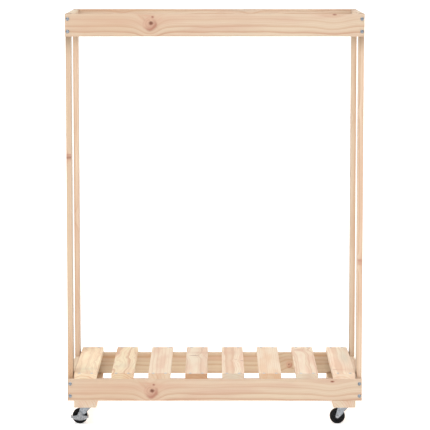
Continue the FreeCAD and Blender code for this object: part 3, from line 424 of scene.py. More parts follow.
@dataclass(frozen=True)
class Pine:
    """Planed, unfinished pine cut from a fast-grown stem.

    Places are in the board's own frame: along its length, across its width, through its
    thickness.  The heart is the place of the stem's middle across and through.
    """

    pale: Colour = tone(238, 214, 186)
    warm: Colour = tone(232, 198, 172)
    late: Colour = tone(206, 156, 122)
    end: Colour = (0.84, 0.82, 0.80)
    heart: tuple[float, float] = (38.0, 25.0)
    ring: float = 12.2
    phase: float = 0.63
    bands: float = 0.80
    fine: float = 0.30
    sway: float = 5.0
    onset: float = 0.38
    shade: float = 0.68
    seed: float = 1.0
    knots: tuple[Knot, ...] = ()
    patches: tuple[Patch, ...] = ()

    def material(self, node: str, lie: Lie) -> bpy.types.Material:
        """Builds this wood for one board.

        Args:
            node: The board's CAD node, which gives the board's middle and size.
            lie: How the board lies.

        Returns:
            The material.
        """
        low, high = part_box(node)
        middle = [(low[axis] + high[axis]) / 2 for axis in range(3)]
        half = [(high[axis] - low[axis]) / 2 / MM for axis in lie.value]
        material, graph = new_material(f"pine_{node}")
        raw = graph.signal("ShaderNodeTexCoord", {}, {}, "Object")
        parts = graph.split(graph.vector(
            "SCALE", graph.vector("SUBTRACT", raw, tuple(middle)), 1 / MM))
        length, width, depth = (parts[axis] for axis in lie.value)
        place = graph.signal("ShaderNodeCombineXYZ", {}, {0: length, 1: width, 2: depth})

        drift = graph.noise(place, (150.0, 34.0, 34.0), self.seed, 1.0) - 0.5
        ripple = graph.noise(place, (42.0, 11.0, 11.0), self.seed + 3, 2.0) - 0.5
        swept = width + drift * (self.sway * 2.2) + ripple * (self.sway * 0.45)
        for knot in self.knots:
            if knot.sweep:
                off_long = (length - knot.along) * (1 / knot.reach)
                off_wide = (width - knot.across) * (0.6 / knot.reach)
                pull = (off_long * off_long + off_wide * off_wide).falloff()
                swept = swept + pull * knot.sweep

        out_wide = swept - self.heart[0]
        out_deep = depth - self.heart[1]
        radius = (out_wide * out_wide + out_deep * out_deep) ** 0.5
        late = self._rings(graph, radius, self.ring, self.phase, 0.25)
        thin = self._rings(graph, radius, self.ring * 0.27, self.phase + 0.4, 0.5)

        cloud = graph.noise(place, (190.0, 26.0, 26.0), self.seed + 6, 2.0)
        colour = graph.mix(cloud.rise(0.35, 0.68), self.pale, self.warm)
        colour = graph.mix(late * self.bands, colour, self.late)
        colour = graph.mix(thin * self.fine, colour, self.late)

        fibre = graph.noise(place, (46.0, 0.7, 0.7), self.seed + 9, 3.0)
        colour = graph.vector("SCALE", colour, 0.93 + fibre * 0.14)
        dash = graph.noise(place, (6.5, 0.5, 0.5), self.seed + 12, 1.0).rise(0.69, 0.80)
        colour = graph.mix(dash * 0.22, colour, tone(186, 134, 96))

        for patch in self.patches:
            colour = graph.mix(self._spot(graph, patch, length, width, depth), colour,
                               patch.tint)
        resin = None
        for index, knot in enumerate(self.knots):
            colour, inside = self._knot(graph, knot, place, length, width, colour, index)
            resin = inside if resin is None else resin.most(inside)

        # painted highlight: the long eased edges are lightened to cream, standing in for the
        # light they catch
        near_wide = width.size().rise(half[1] - 1.5, half[1] - 0.2)
        near_deep = depth.size().rise(half[2] - 1.5, half[2] - 0.2)
        corner = near_wide.least(near_deep)
        colour = graph.mix(corner * 0.3, colour, tone(246, 222, 194))

        facing = graph.split(graph.signal("ShaderNodeTexCoord", {}, {}, "Normal"))
        end = facing[lie.value[0]].size().rise(0.55, 0.85)
        pores = graph.noise(place, (1.0, 0.55, 0.55), self.seed + 15, 2.0)
        sawn = graph.vector("MULTIPLY", colour, self.end)
        sawn = graph.vector("SCALE", sawn, 0.94 + pores * 0.12)
        colour = graph.vector("SCALE", graph.mix(end, colour, sawn), self.shade)

        rough = 0.60 + (fibre - 0.5) * 0.22 - late * 0.08 + end * 0.15
        if resin is not None:
            rough = rough - resin * 0.14
        relief = fibre * 0.55 + late * 0.35 + dash * -0.5 + end * pores * 0.6
        graph.surface({"Base Color": colour, "Roughness": rough,
                       "Normal": graph.bump(relief, 0.35, 0.45)},
                      {"Specular IOR Level": 0.35})
        return material

    def _rings(self, graph: Graph, radius: Signal, spacing: float, phase: float,
               least: float) -> Signal:
        """Yearly rings: each darkens slowly outwards and ends at once.

        Args:
            graph: The material's graph.
            radius: Distance from the stem's heart.
            spacing: Ring width.
            phase: Where the first ring begins, in rings.
            least: Strength of the palest ring.

        Returns:
            0 in early wood, up to 1 in late wood.
        """
        turn = radius * (1 / spacing) + phase
        number = turn.floor()
        within = turn - number
        dark = within.rise(self.onset, 0.94) * (1 - within.rise(0.95, 1.0))
        return dark * (least + graph.chance(number + self.seed) * (1 - least))

    @staticmethod
    def _spot(graph: Graph, patch: Patch, length: Signal, width: Signal,
              depth: Signal) -> Signal:
        """Amount of a soft stain or of a patch of painted shade.

        Args:
            graph: The material's graph; not used.
            patch: The stain or painted shade.
            length: Place along the board.
            width: Place across the board.
            depth: Place through the board.

        Returns:
            0 away from the patch, its amount in its middle.
        """
        cosine = math.cos(math.radians(patch.turn))
        sine = math.sin(math.radians(patch.turn))
        off_long = length - patch.along
        off_wide = width - patch.across
        first = (off_long * cosine + off_wide * sine) * (1 / patch.half_long)
        second = (off_wide * cosine - off_long * sine) * (1 / patch.half_wide)
        total = first * first + second * second
        if patch.half_deep < THROUGH:
            third = (depth - patch.deep) * (1 / patch.half_deep)
            total = total + third * third
        return total.falloff() * patch.amount

    def _knot(self, graph: Graph, knot: Knot, place: Signal, length: Signal, width: Signal,
              colour: Signal, index: int) -> tuple[Signal, Signal]:
        """Paints one knot.

        Args:
            graph: The material's graph.
            knot: The knot.
            place: The place in the board's frame.
            length: Place along the board.
            width: Place across the board.
            colour: The wood's colour so far.
            index: The knot's number, for its own unevenness.

        Returns:
            The colour with the knot, and how far a place is inside it.
        """
        uneven = graph.noise(place, (knot.half_long * 0.7, knot.half_wide * 0.7, 30.0),
                             self.seed + 20 + index, 2.0) - 0.5
        off_long = (length - knot.along) * (1 / knot.half_long)
        off_wide = (width - knot.across) * (1 / knot.half_wide)
        away = (off_long * off_long + off_wide * off_wide) ** 0.5 + uneven * 0.45
        inside = 1 - away.rise(0.72, 1.15)
        turn = math.radians(knot.dark_side)
        shaded = (off_long * math.cos(turn) + off_wide * math.sin(turn)).rise(-0.35, 0.95)
        bark = away.rise(0.55, 0.90) * (1 - away.rise(0.95, 1.3)) * shaded
        years = (away * 15.0 + uneven * 6.0).sine() * 0.5 + 0.5
        core = 1 - away.rise(knot.core * 0.3, knot.core * 1.7)
        halo = (away * away * 0.35).falloff()
        flesh = graph.mix(years * 0.5, tone(228, 186, 158), tone(202, 150, 124))
        flesh = graph.mix(shaded * 0.65, flesh, tone(192, 136, 112))
        colour = graph.mix(halo * 0.35 * knot.depth, colour, tone(228, 188, 160))
        colour = graph.mix(inside * 0.85 * knot.depth, colour, flesh)
        colour = graph.mix(bark * 0.75 * knot.depth, colour,
                           tone(176 + 12 * knot.red, 124, 102))
        colour = graph.mix(core * 0.95 * knot.depth, colour,
                           tone(104 + 34 * knot.red, 68, 46))
        return colour, inside * knot.depth


# ---------------------------------------------------------------------------
# Other finishes
# ---------------------------------------------------------------------------

@dataclass(frozen=True)
class Zinc:
    """Zinc-plated steel with a slightly uneven, rolled surface."""

    name: str
    light: Colour = (0.56, 0.57, 0.59)
    dark: Colour = (0.40, 0.41, 0.43)
    rough: float = 0.36
    mottle: tuple[float, float, float] = (3.5, 3.5, 3.5)

    def material(self) -> bpy.types.Material:
        """Builds the finish."""
        material, graph = new_material(self.name)
        place = graph.place()
        cloud = graph.noise(place, self.mottle, 2.0, 3.0)
        rolled = graph.noise(place, (0.35, 5.0, 5.0), 5.0, 2.0)
        grain = graph.noise(place, (0.28, 0.28, 0.28), 8.0, 2.0)
        colour = graph.mix(cloud.rise(0.34, 0.68), self.dark, self.light)
        colour = graph.vector("SCALE", colour, 0.93 + rolled * 0.14)
        rough = self.rough + (cloud - 0.5) * 0.22 + (grain - 0.5) * 0.16
        graph.surface({"Base Color": colour, "Roughness": rough,
                       "Normal": graph.bump(grain * 0.6 + rolled * 0.4, 0.05, 0.35)},
                      {"Metallic": 1.0})
        return material


@dataclass(frozen=True)
class Moulded:
    """Black moulded plastic or rubber about a wheel's axle, with dust on what touches things."""

    name: str
    black: Colour = (0.004, 0.004, 0.0045)
    grey: Colour = (0.016, 0.016, 0.017)
    dust: Colour = (0.16, 0.15, 0.14)
    rough: float = 0.5
    dusty: float = 0.0
    dust_from: float = 18.5
    gleam: float = 0.16

    def material(self) -> bpy.types.Material:
        """Builds the finish."""
        material, graph = new_material(self.name)
        place = graph.place()
        parts = graph.split(place)
        radius = (parts[0] * parts[0] + parts[2] * parts[2]) ** 0.5
        cloud = graph.noise(place, (4.0, 4.0, 4.0), 3.0, 3.0)
        grain = graph.noise(place, (0.22, 0.22, 0.22), 6.0, 1.0)
        swirl = ((radius * 5.2).sine() * 0.5 + 0.5) * 0.25
        colour = graph.mix(cloud.rise(0.3, 0.75) * 0.7 + swirl, self.black, self.grey)
        worn = radius.rise(self.dust_from, self.dust_from + 1.4)
        worn = worn * graph.noise(place, (1.6, 2.6, 1.6), 9.0, 3.0).rise(0.42, 0.72)
        colour = graph.mix(worn * self.dusty, colour, self.dust)
        rough = self.rough + (cloud - 0.5) * 0.2 + (grain - 0.5) * 0.12 + worn * 0.15
        graph.surface({"Base Color": colour, "Roughness": rough,
                       "Normal": graph.bump(grain, 0.06, 0.4)},
                      {"Specular IOR Level": self.gleam})
        return material


@dataclass(frozen=True)
class Ground:
    """Smooth pale painted floor with very faint clouds."""

    name: str = "floor_paint"
    first: Colour = (0.95, 0.95, 0.95)
    second: Colour = (0.93, 0.93, 0.93)
    glow: float = 0.5

    def material(self) -> bpy.types.Material:
        """Builds the finish."""
        material, graph = new_material(self.name)
        cloud = graph.noise(graph.place(), (900.0, 900.0, 900.0), 1.0, 2.0)
        graph.surface({"Base Color": graph.mix(cloud, self.first, self.second),
                       "Roughness": 0.7 + cloud * 0.1},
                      {"Specular IOR Level": 0.2, "Emission Color": (1.0, 1.0, 1.0),
                       "Emission Strength": self.glow})
        return material


# ---------------------------------------------------------------------------
# Mesh making
# ---------------------------------------------------------------------------

Profile = Sequence[tuple[float, float]]


def to_object(name: str, mesh_in: bmesh.types.BMesh, at: tuple[float, float, float],
              sharp: float = 32.0) -> bpy.types.Object:
    """Turns a bmesh in millimetres into an object.

    Args:
        name: The piece's name.
        mesh_in: The geometry, in millimetres about the piece's own origin.
        at: Where that origin is, in millimetres.
        sharp: Edges over this many degrees stay sharp.

    Returns:
        The object.
    """
    bmesh.ops.scale(mesh_in, vec=(MM, MM, MM), verts=mesh_in.verts)
    bmesh.ops.recalc_face_normals(mesh_in, faces=mesh_in.faces)
    mesh = bpy.data.meshes.new(name)
    mesh_in.to_mesh(mesh)
    mesh_in.free()
    mesh.shade_smooth()
    mesh.set_sharp_from_angle(angle=math.radians(sharp))
    made = bpy.data.objects.new(name, mesh)
    made.location = Vector(at) * MM
    bpy.context.scene.collection.objects.link(made)
    return made


def add_turned(mesh: bmesh.types.BMesh, section: Profile, steps: int) -> None:
    """Adds a closed section turned about the Y axis.

    Args:
        mesh: Where it is added.
        section: (radius, y) points; the last joins the first.
        steps: Steps round the axis.
    """
    rings = []
    for radius, height in section:
        rings.append([mesh.verts.new((radius * math.cos(step * math.tau / steps), height,
                                      radius * math.sin(step * math.tau / steps)))
                      for step in range(steps)])
    for first, second in zip(rings, rings[1:] + rings[:1]):
        for step in range(steps):
            after = (step + 1) % steps
            mesh.faces.new((first[step], first[after], second[after], second[step]))


def merge(mesh: bmesh.types.BMesh, part: bmesh.types.BMesh) -> None:
    """Puts a small mesh into a bigger one and frees it.

    Args:
        mesh: Where it goes.
        part: The small mesh.
    """
    spare = bpy.data.meshes.new("part")
    part.to_mesh(spare)
    part.free()
    mesh.from_mesh(spare)
    bpy.data.meshes.remove(spare)


def add_block(mesh: bmesh.types.BMesh, corners: Sequence[tuple[float, float, float]],
              ease: float) -> None:
    """Adds a six-sided block with eased edges.

    Args:
        mesh: Where it is added.
        corners: Four corners of one side, then the matching four of the other.
        ease: The rounding of its edges.
    """
    part = bmesh.new()
    points = [part.verts.new(corner) for corner in corners]
    for loop in ((0, 1, 2, 3), (7, 6, 5, 4), (0, 4, 5, 1), (1, 5, 6, 2), (2, 6, 7, 3),
                 (3, 7, 4, 0)):
        part.faces.new([points[index] for index in loop])
    bmesh.ops.recalc_face_normals(part, faces=part.faces)
    bmesh.ops.bevel(part, geom=list(part.edges) + list(part.verts), offset=ease, segments=2,
                    affect="EDGES", profile=0.5)
    merge(mesh, part)


def arc(centre: tuple[float, float], radius: float, start: float, stop: float,
        steps: int) -> list[tuple[float, float]]:
    """Points along an arc.

    Args:
        centre: Its centre.
        radius: Its radius.
        start: Its first angle, in degrees.
        stop: Its last angle, in degrees.
        steps: How many steps it has.

    Returns:
        The points, both ends included.
    """
    turns = [math.radians(start + (stop - start) * step / steps) for step in range(steps + 1)]
    return [(centre[0] + radius * math.cos(turn), centre[1] + radius * math.sin(turn))
            for turn in turns]


def add_bead(mesh: bmesh.types.BMesh, path: Sequence[tuple[float, float]], face: float,
             outward: float, half_wide: float, proud: float, closed: bool) -> None:
    """Adds a low pressed bead that follows a path on a flat face.

    Args:
        mesh: Where it is added.
        path: (x, z) points along the bead's middle.
        face: The flat face's y.
        outward: 1 or -1, the way out of the face along Y.
        half_wide: Half the bead's width.
        proud: How far it stands out of the face.
        closed: Whether the path closes on itself.
    """
    count = len(path)
    sections = []
    for index, (x_mid, z_mid) in enumerate(path):
        before = path[index - 1] if closed or index else path[index]
        after = path[(index + 1) % count] if closed or index < count - 1 else path[index]
        run = Vector((after[0] - before[0], after[1] - before[1])).normalized()
        side = Vector((-run.y, run.x))
        ring = []
        for step in range(BEAD_STEPS + 1):
            turn = math.pi * step / BEAD_STEPS
            off = side * (half_wide * math.cos(turn))
            lift = proud * math.sin(turn) - BEAD_SUNK
            ring.append(mesh.verts.new((x_mid + off.x, face + outward * lift, z_mid + off.y)))
        sections.append(ring)
    pairs = list(zip(sections, sections[1:]))
    if closed:
        pairs.append((sections[-1], sections[0]))
    for first, second in pairs:
        for step in range(BEAD_STEPS):
            mesh.faces.new((first[step], first[step + 1], second[step + 1], second[step]))
        mesh.faces.new((first[-1], first[0], second[0], second[-1]))
    if not closed:
        mesh.faces.new(sections[0])
        mesh.faces.new(list(reversed(sections[-1])))


# ---------------------------------------------------------------------------
# The wooden frame
# ---------------------------------------------------------------------------

PINK = tone(226, 178, 150)
ORANGE = tone(214, 160, 112)
BROWN = tone(172, 118, 84)
CREAM = tone(244, 220, 188)
ASH = tone(214, 202, 180)


@dataclass
class Rails:
    """The four long boards.  The two front ones were cut from one plank, so they match."""

    top_lift: float = 0.0
    bottom_lift: float = -7.5
    wood: Pine = Pine(shade=0.588)

    def front(self, lift: float, small_depth: float) -> Pine:
        """The front rails' wood.

        Args:
            lift: How far the plank's pattern is shifted up on the board.
            small_depth: Strength of the small knot near the right end.

        Returns:
            The wood with its knots and streaks in place.
        """
        knots = (
            Knot(-167, 4.0 + lift, 17, 17, sweep=24, reach=28, core=0.01, depth=1.0,
                 dark_side=-52),
            Knot(-163, 5.6 + lift, 5.6, 4.8, core=0.85, depth=1.0, red=0.6),
            Knot(-159, 21.5 + lift, 4.2, 3.4, core=0.6, depth=0.7, red=1.3),
            Knot(305, 27.5 + lift * 0.7, 5.5, 2.6, sweep=9, reach=40, core=0.7,
                 depth=small_depth, red=1.0),
        )
        patches = (
            Patch(-184, 18 + lift, 15, 3.0, CREAM, 0.7, turn=-50),
            Patch(-177, 10 + lift, 17, 2.2, BROWN, 0.6, turn=-54),
            Patch(-160, 5 + lift, 17, 1.8, BROWN, 0.5, turn=-40),
            Patch(-190, 22 + lift, 13, 2.0, PINK, 0.7, turn=-48),
            Patch(-172, 24 + lift, 15, 2.2, PINK, 0.8, turn=-8),
            Patch(-142, 15 + lift, 11, 2.0, PINK, 0.6, turn=35),
            Patch(-155, -5 + lift, 13, 5.0, BROWN, 0.42, turn=28),
            Patch(-161, -13 + lift, 10, 3.0, BROWN, 0.3, turn=8),
            Patch(-270, 0, 130, 60, tone(224, 184, 150), 0.45),
            Patch(-120, 16 + lift, 60, 14, PINK, 0.22),
            Patch(60, 20 + lift, 190, 8, PINK, 0.25),
            Patch(-300, 14 + lift, 90, 12, PINK, 0.22),
            Patch(200, -10 + lift, 160, 9, CREAM, 0.25),
        )
        return replace(self.wood, heart=(38 + lift, 25), knots=knots, patches=patches)

    def finish(self) -> None:
        """Dresses the four rails."""
        dress("rail_top_front", self.front(self.top_lift, 0.75)
              .material("rail_top_front", Lie.RAIL))
        dress("rail_bottom_front", self.front(self.bottom_lift, 1.0)
              .material("rail_bottom_front", Lie.RAIL))
        rear_top = replace(
            self.wood, shade=0.63, seed=7.0, heart=(-46.0, -22.0), ring=9.5, phase=0.2,
            knots=(Knot(96, -9, 9, 7, sweep=12, reach=26, core=0.25, depth=0.8),
                   Knot(-252, 12, 5, 4, sweep=6, reach=22, core=0.5, depth=0.8)),
            patches=(Patch(-250, 26, 130, 5, ORANGE, 0.35), Patch(70, 27, 40, 4, ASH, 0.5)))
        dress("rail_top_rear", rear_top.material("rail_top_rear", Lie.RAIL))
        rear_bottom = replace(
            self.wood, shade=0.80, seed=12.0, heart=(44.0, -26.0), ring=10.5, phase=0.8,
            bands=0.6, pale=tone(232, 214, 186), warm=tone(224, 200, 172),
            late=tone(200, 158, 122),
            knots=(Knot(205, -4, 8, 9, sweep=-14, reach=28, core=0.25, depth=0.8),),
            patches=(Patch(-285, 17, 60, 8, ORANGE, 0.55), Patch(-160, 20, 40, 7, ORANGE, 0.4),
                     Patch(288, 22, 26, 6, ORANGE, 0.5), Patch(0, 14, 130, 6, PINK, 0.4)))
        dress("rail_bottom_rear", rear_bottom.material("rail_bottom_rear", Lie.RAIL))


@dataclass
class Posts:
    """The four uprights."""

    wood: Pine = Pine(pale=tone(240, 216, 188), warm=tone(232, 202, 174), heart=(-44.0, 16.0),
                      ring=8.0, bands=0.55, sway=3.0)

    def finish(self) -> None:
        """Dresses the posts."""
        # painted shadow: a grey-brown band on each post just under the top rail, where the
        # rail's shadow falls
        painted_rail_shadow = Patch(442, -29, 30, 40, tone(172, 150, 122), 0.75)
        woods = {
            "front_left": replace(
                self.wood, seed=2.0, phase=0.1, pale=tone(238, 212, 180), shade=0.6,
                knots=(Knot(132, -27, 9, 7, sweep=8, reach=22, core=0.4, depth=0.7),
                       Knot(-310, 12, 8, 8, sweep=12, reach=24, core=0.3, depth=0.8)),
                patches=(painted_rail_shadow, Patch(-440, -29, 100, 30, ORANGE, 0.55),
                         # painted shade: the post's inner face, and the inner edge of its front
                         # face, darkened grey-beige as if in shade
                         Patch(0, 0, 900, 90, tone(190, 170, 138), 0.85, deep=8.2,
                               half_deep=1.6))),
            "front_right": replace(
                self.wood, seed=4.0, phase=0.5, heart=(-40.0, -18.0), shade=0.65,
                knots=(Knot(-140, -25, 10, 6, sweep=7, reach=24, core=0.35, depth=0.7),
                       Knot(250, 8, 9, 9, sweep=12, reach=24, core=0.3, depth=0.8)),
                patches=(painted_rail_shadow, Patch(0, -29, 600, 12, PINK, 0.35, deep=3, half_deep=4),
                         Patch(300, -29, 180, 20, BROWN, 0.3, deep=-6, half_deep=2))),
            "rear_left": replace(
                self.wood, seed=6.0, phase=0.3, heart=(-52.0, -12.0),
                knots=(Knot(-60, 4, 8, 9, sweep=10, reach=24, core=0.3, depth=0.8),),
                patches=(painted_rail_shadow,
                         Patch(60, -29, 640, 18, tone(200, 154, 124), 0.6, deep=-5,
                               half_deep=4))),
            "rear_right": replace(
                self.wood, seed=8.0, phase=0.7, heart=(-52.0, 14.0), shade=0.61,
                knots=(Knot(210, -3, 9, 8, sweep=10, reach=24, core=0.3, depth=0.8),),
                patches=(painted_rail_shadow,
                         Patch(-40, -29, 640, 18, ORANGE, 0.35, deep=4, half_deep=5))),
        }
        for corner, wood in woods.items():
            dress(f"post_{corner}", wood.material(f"post_{corner}", Lie.POST))


@dataclass
class SideBoards:
    """The short boards of the two rings."""

    wood: Pine = Pine(pale=tone(250, 232, 202), warm=tone(242, 214, 188), heart=(36.0, 20.0),
                      ring=8.5, sway=4.0)

    def finish(self) -> None:
        """Dresses the side boards."""
        spots = {
            "bottom_left": (Knot(-40, 6, 8, 7, sweep=12, reach=24, depth=0.8),),
            "bottom_right": (Knot(66, -8, 7, 7, sweep=-12, reach=22, depth=0.8),),
            "top_left": (Knot(30, -4, 9, 8, sweep=-14, reach=26, depth=0.9),),
            "top_right": (Knot(-72, 10, 6, 6, sweep=9, reach=22, depth=0.8),),
        }
        for index, (name, knots) in enumerate(spots.items()):
            wood = replace(self.wood, seed=21.0 + 2 * index, phase=0.23 * index, knots=knots)
            dress(f"side_board_{name}", wood.material(f"side_board_{name}", Lie.SIDE_BOARD))


@dataclass
class Deck:
    """The eight slats and the two boards under them."""

    wood: Pine = Pine(pale=tone(250, 232, 206), warm=tone(246, 214, 188),
                      late=tone(218, 168, 130), heart=(-8.0, -46.0), ring=7.0, bands=0.75,
                      fine=0.5, sway=9.0, onset=0.5, shade=0.78, end=(0.76, 0.75, 0.74))

    def slats(self) -> list[Pine]:
        """The slats' wood from left to right."""
        return [
            replace(self.wood, seed=31.0, phase=0.1, sway=15.0, shade=0.84, bands=0.9,
                    pale=tone(254, 238, 204), warm=tone(250, 222, 188),
                    knots=(Knot(112, -27, 3.5, 3.5, sweep=5, reach=18, core=0.6, depth=0.9),),
                    patches=(Patch(-130, 4, 16, 30, ASH, 0.3),
                             Patch(-185, 0, 22, 30, PINK, 0.3),
                             Patch(190, 4, 8, 18, ORANGE, 0.45))),
            replace(self.wood, seed=34.0, phase=0.6, sway=20.0, ring=6.0, bands=0.95,
                    pale=tone(252, 235, 200), warm=tone(248, 216, 182),
                    patches=(Patch(194, -14, 7, 16, BROWN, 0.45),
                             Patch(110, 26, 40, 4, ORANGE, 0.5),
                             Patch(-80, 0, 40, 20, ASH, 0.3),
                             Patch(-196, 0, 5, 40, ORANGE, 0.4))),
            replace(self.wood, seed=37.0, phase=0.3, sway=3.0, bands=0.5, ring=9.0,
                    heart=(-60.0, -24.0), warm=tone(240, 208, 182),
                    knots=(Knot(194, 23, 5, 6, core=0.5, depth=0.9),),
                    patches=(Patch(-197, 0, 4, 40, ORANGE, 0.5),)),
            replace(self.wood, seed=40.0, phase=0.8, sway=5.0, bands=0.6, shade=0.73,
                    end=(0.66, 0.58, 0.50),
                    knots=(Knot(67, -7, 3.4, 12, sweep=9, reach=34, core=0.8, depth=0.9),
                           Knot(44, -2, 2.0, 8, core=0.5, depth=0.35),
                           Knot(150, 13, 4, 4, core=0.5, depth=0.4)),
                    patches=(Patch(110, 8, 16, 22, PINK, 0.5),
                             Patch(-201, 0, 4, 60, ORANGE, 0.6))),
            replace(self.wood, seed=43.0, phase=0.2, sway=6.0,
                    knots=(Knot(-12, 25, 4, 5, sweep=6, reach=22, core=0.5, depth=0.95),
                           Knot(6, 9, 3, 3.5, core=0.5, depth=0.6),
                           Knot(150, 0, 3, 3, core=0.5, depth=0.5)),
                    patches=(Patch(110, -6, 30, 20, PINK, 0.4),
                             Patch(-200, 0, 5, 50, ASH, 0.6))),
            replace(self.wood, seed=46.0, phase=0.55, sway=2.0, bands=0.5, ring=5.0,
                    heart=(70.0, -20.0), warm=tone(244, 212, 180),
                    patches=(Patch(-199, 0, 4, 50, ORANGE, 0.5),)),
            replace(self.wood, seed=49.0, phase=0.9, sway=8.0, warm=tone(243, 209, 184),
                    knots=(Knot(150, -14, 9, 9, sweep=12, reach=30, core=0.2, depth=0.4),),
                    patches=(Patch(150, -4, 20, 16, PINK, 0.5),
                             Patch(-200, 0, 5, 50, ASH, 0.45))),
            replace(self.wood, seed=52.0, phase=0.4, sway=7.0, bands=0.5, shade=0.83,
                    knots=(Knot(-140, -18, 5, 8, core=0.4, depth=0.35),),
                    patches=(Patch(40, 14, 110, 17, ASH, 0.75),
                             Patch(-140, -10, 12, 20, PINK, 0.45))),
        ]

    def finish(self) -> None:
        """Dresses the slats and the caster boards."""
        for number, wood in enumerate(self.slats(), start=1):
            dress(f"slat_{number}", wood.material(f"slat_{number}", Lie.DECK))
        for index, side in enumerate(("left", "right")):
            wood = replace(self.wood, seed=61.0 + 3 * index, phase=0.4 * index,
                           pale=tone(236, 214, 184), warm=tone(232, 202, 172), sway=5.0,
                           heart=(-50.0, -30.0), ring=6.5, end=(0.80, 0.84, 0.90),
                           patches=(Patch(-195, -12 + 20 * index, 10, 12, PINK, 0.35),))
            dress(f"caster_board_{side}", wood.material(f"caster_board_{side}", Lie.DECK))


@dataclass
class Fasteners:
    """Screws and dowels."""

    rail_zinc: Zinc = Zinc("screw_zinc", (0.27, 0.295, 0.325), (0.15, 0.168, 0.19), 0.22)
    deck_zinc: Zinc = Zinc("deck_screw_zinc", (0.62, 0.63, 0.64), (0.44, 0.45, 0.46), 0.36)
    beech: Pine = Pine(pale=tone(226, 192, 152), warm=tone(216, 180, 140),
                       late=tone(190, 150, 110), ring=1.2, heart=(0.0, 0.0), bands=0.4,
                       seed=71.0)

    board_half: float = 6.75
    pair_half: float = 16.0
    dome_radius: float = 3.9
    dome_height: float = 1.3
    socket_radius: float = 1.7

    def make_domes(self) -> bpy.types.Object:
        """The raised rims of the deck screws' heads, around their cross recesses."""
        mesh = bmesh.new()
        rise = self.dome_height
        rim = [(self.socket_radius, 0.02), (self.socket_radius, rise - 0.1),
               (self.socket_radius + 0.15, rise), (self.dome_radius * 0.62, rise * 0.93),
               (self.dome_radius * 0.84, rise * 0.66), (self.dome_radius * 0.97, rise * 0.3),
               (self.dome_radius, 0.02)]
        upright = Matrix.Rotation(math.pi / 2, 3, "X")
        for number in range(1, 9):
            low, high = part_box(f"slat_{number}")
            middle = (low[0] + high[0]) / 2 / MM
            for side in (-1, 1):
                reach = side * (high[1] / MM - self.board_half)
                for half in (-self.pair_half, self.pair_half):
                    part = bmesh.new()
                    add_turned(part, rim, RIM_STEPS)
                    bmesh.ops.rotate(part, cent=(0, 0, 0), matrix=upright, verts=part.verts)
                    bmesh.ops.translate(part, vec=(middle + half, reach, high[2] / MM),
                                        verts=part.verts)
                    merge(mesh, part)
        return to_object("slat_screw_domes", mesh, (0.0, 0.0, 0.0), 40)

    def finish(self) -> None:
        """Dresses every fastener."""
        dress("rail_screws", self.rail_zinc.material())
        deck = self.deck_zinc.material()
        fit(self.make_domes(), deck, "rack")
        for name in ("slat_screws", "caster_board_screws", "caster_plate_screws"):
            dress(name, deck)
        dress("side_board_dowels", self.beech.material("side_board_dowels", Lie.SIDE_BOARD))


# ---------------------------------------------------------------------------
# The casters
# ---------------------------------------------------------------------------

class Corner(Enum):
    """The caster's corner: its name's ending, and its side along X and along Y."""

    FRONT_LEFT = ("front_left", -1, -1)
    FRONT_RIGHT = ("front_right", 1, -1)
    REAR_LEFT = ("rear_left", -1, 1)
    REAR_RIGHT = ("rear_right", 1, 1)


@dataclass(frozen=True)
class CasterFinishes:
    """The finishes that all casters share."""

    zinc: bpy.types.Material
    pedal: bpy.types.Material
    steel: bpy.types.Material
    core: bpy.types.Material
    tyre: bpy.types.Material


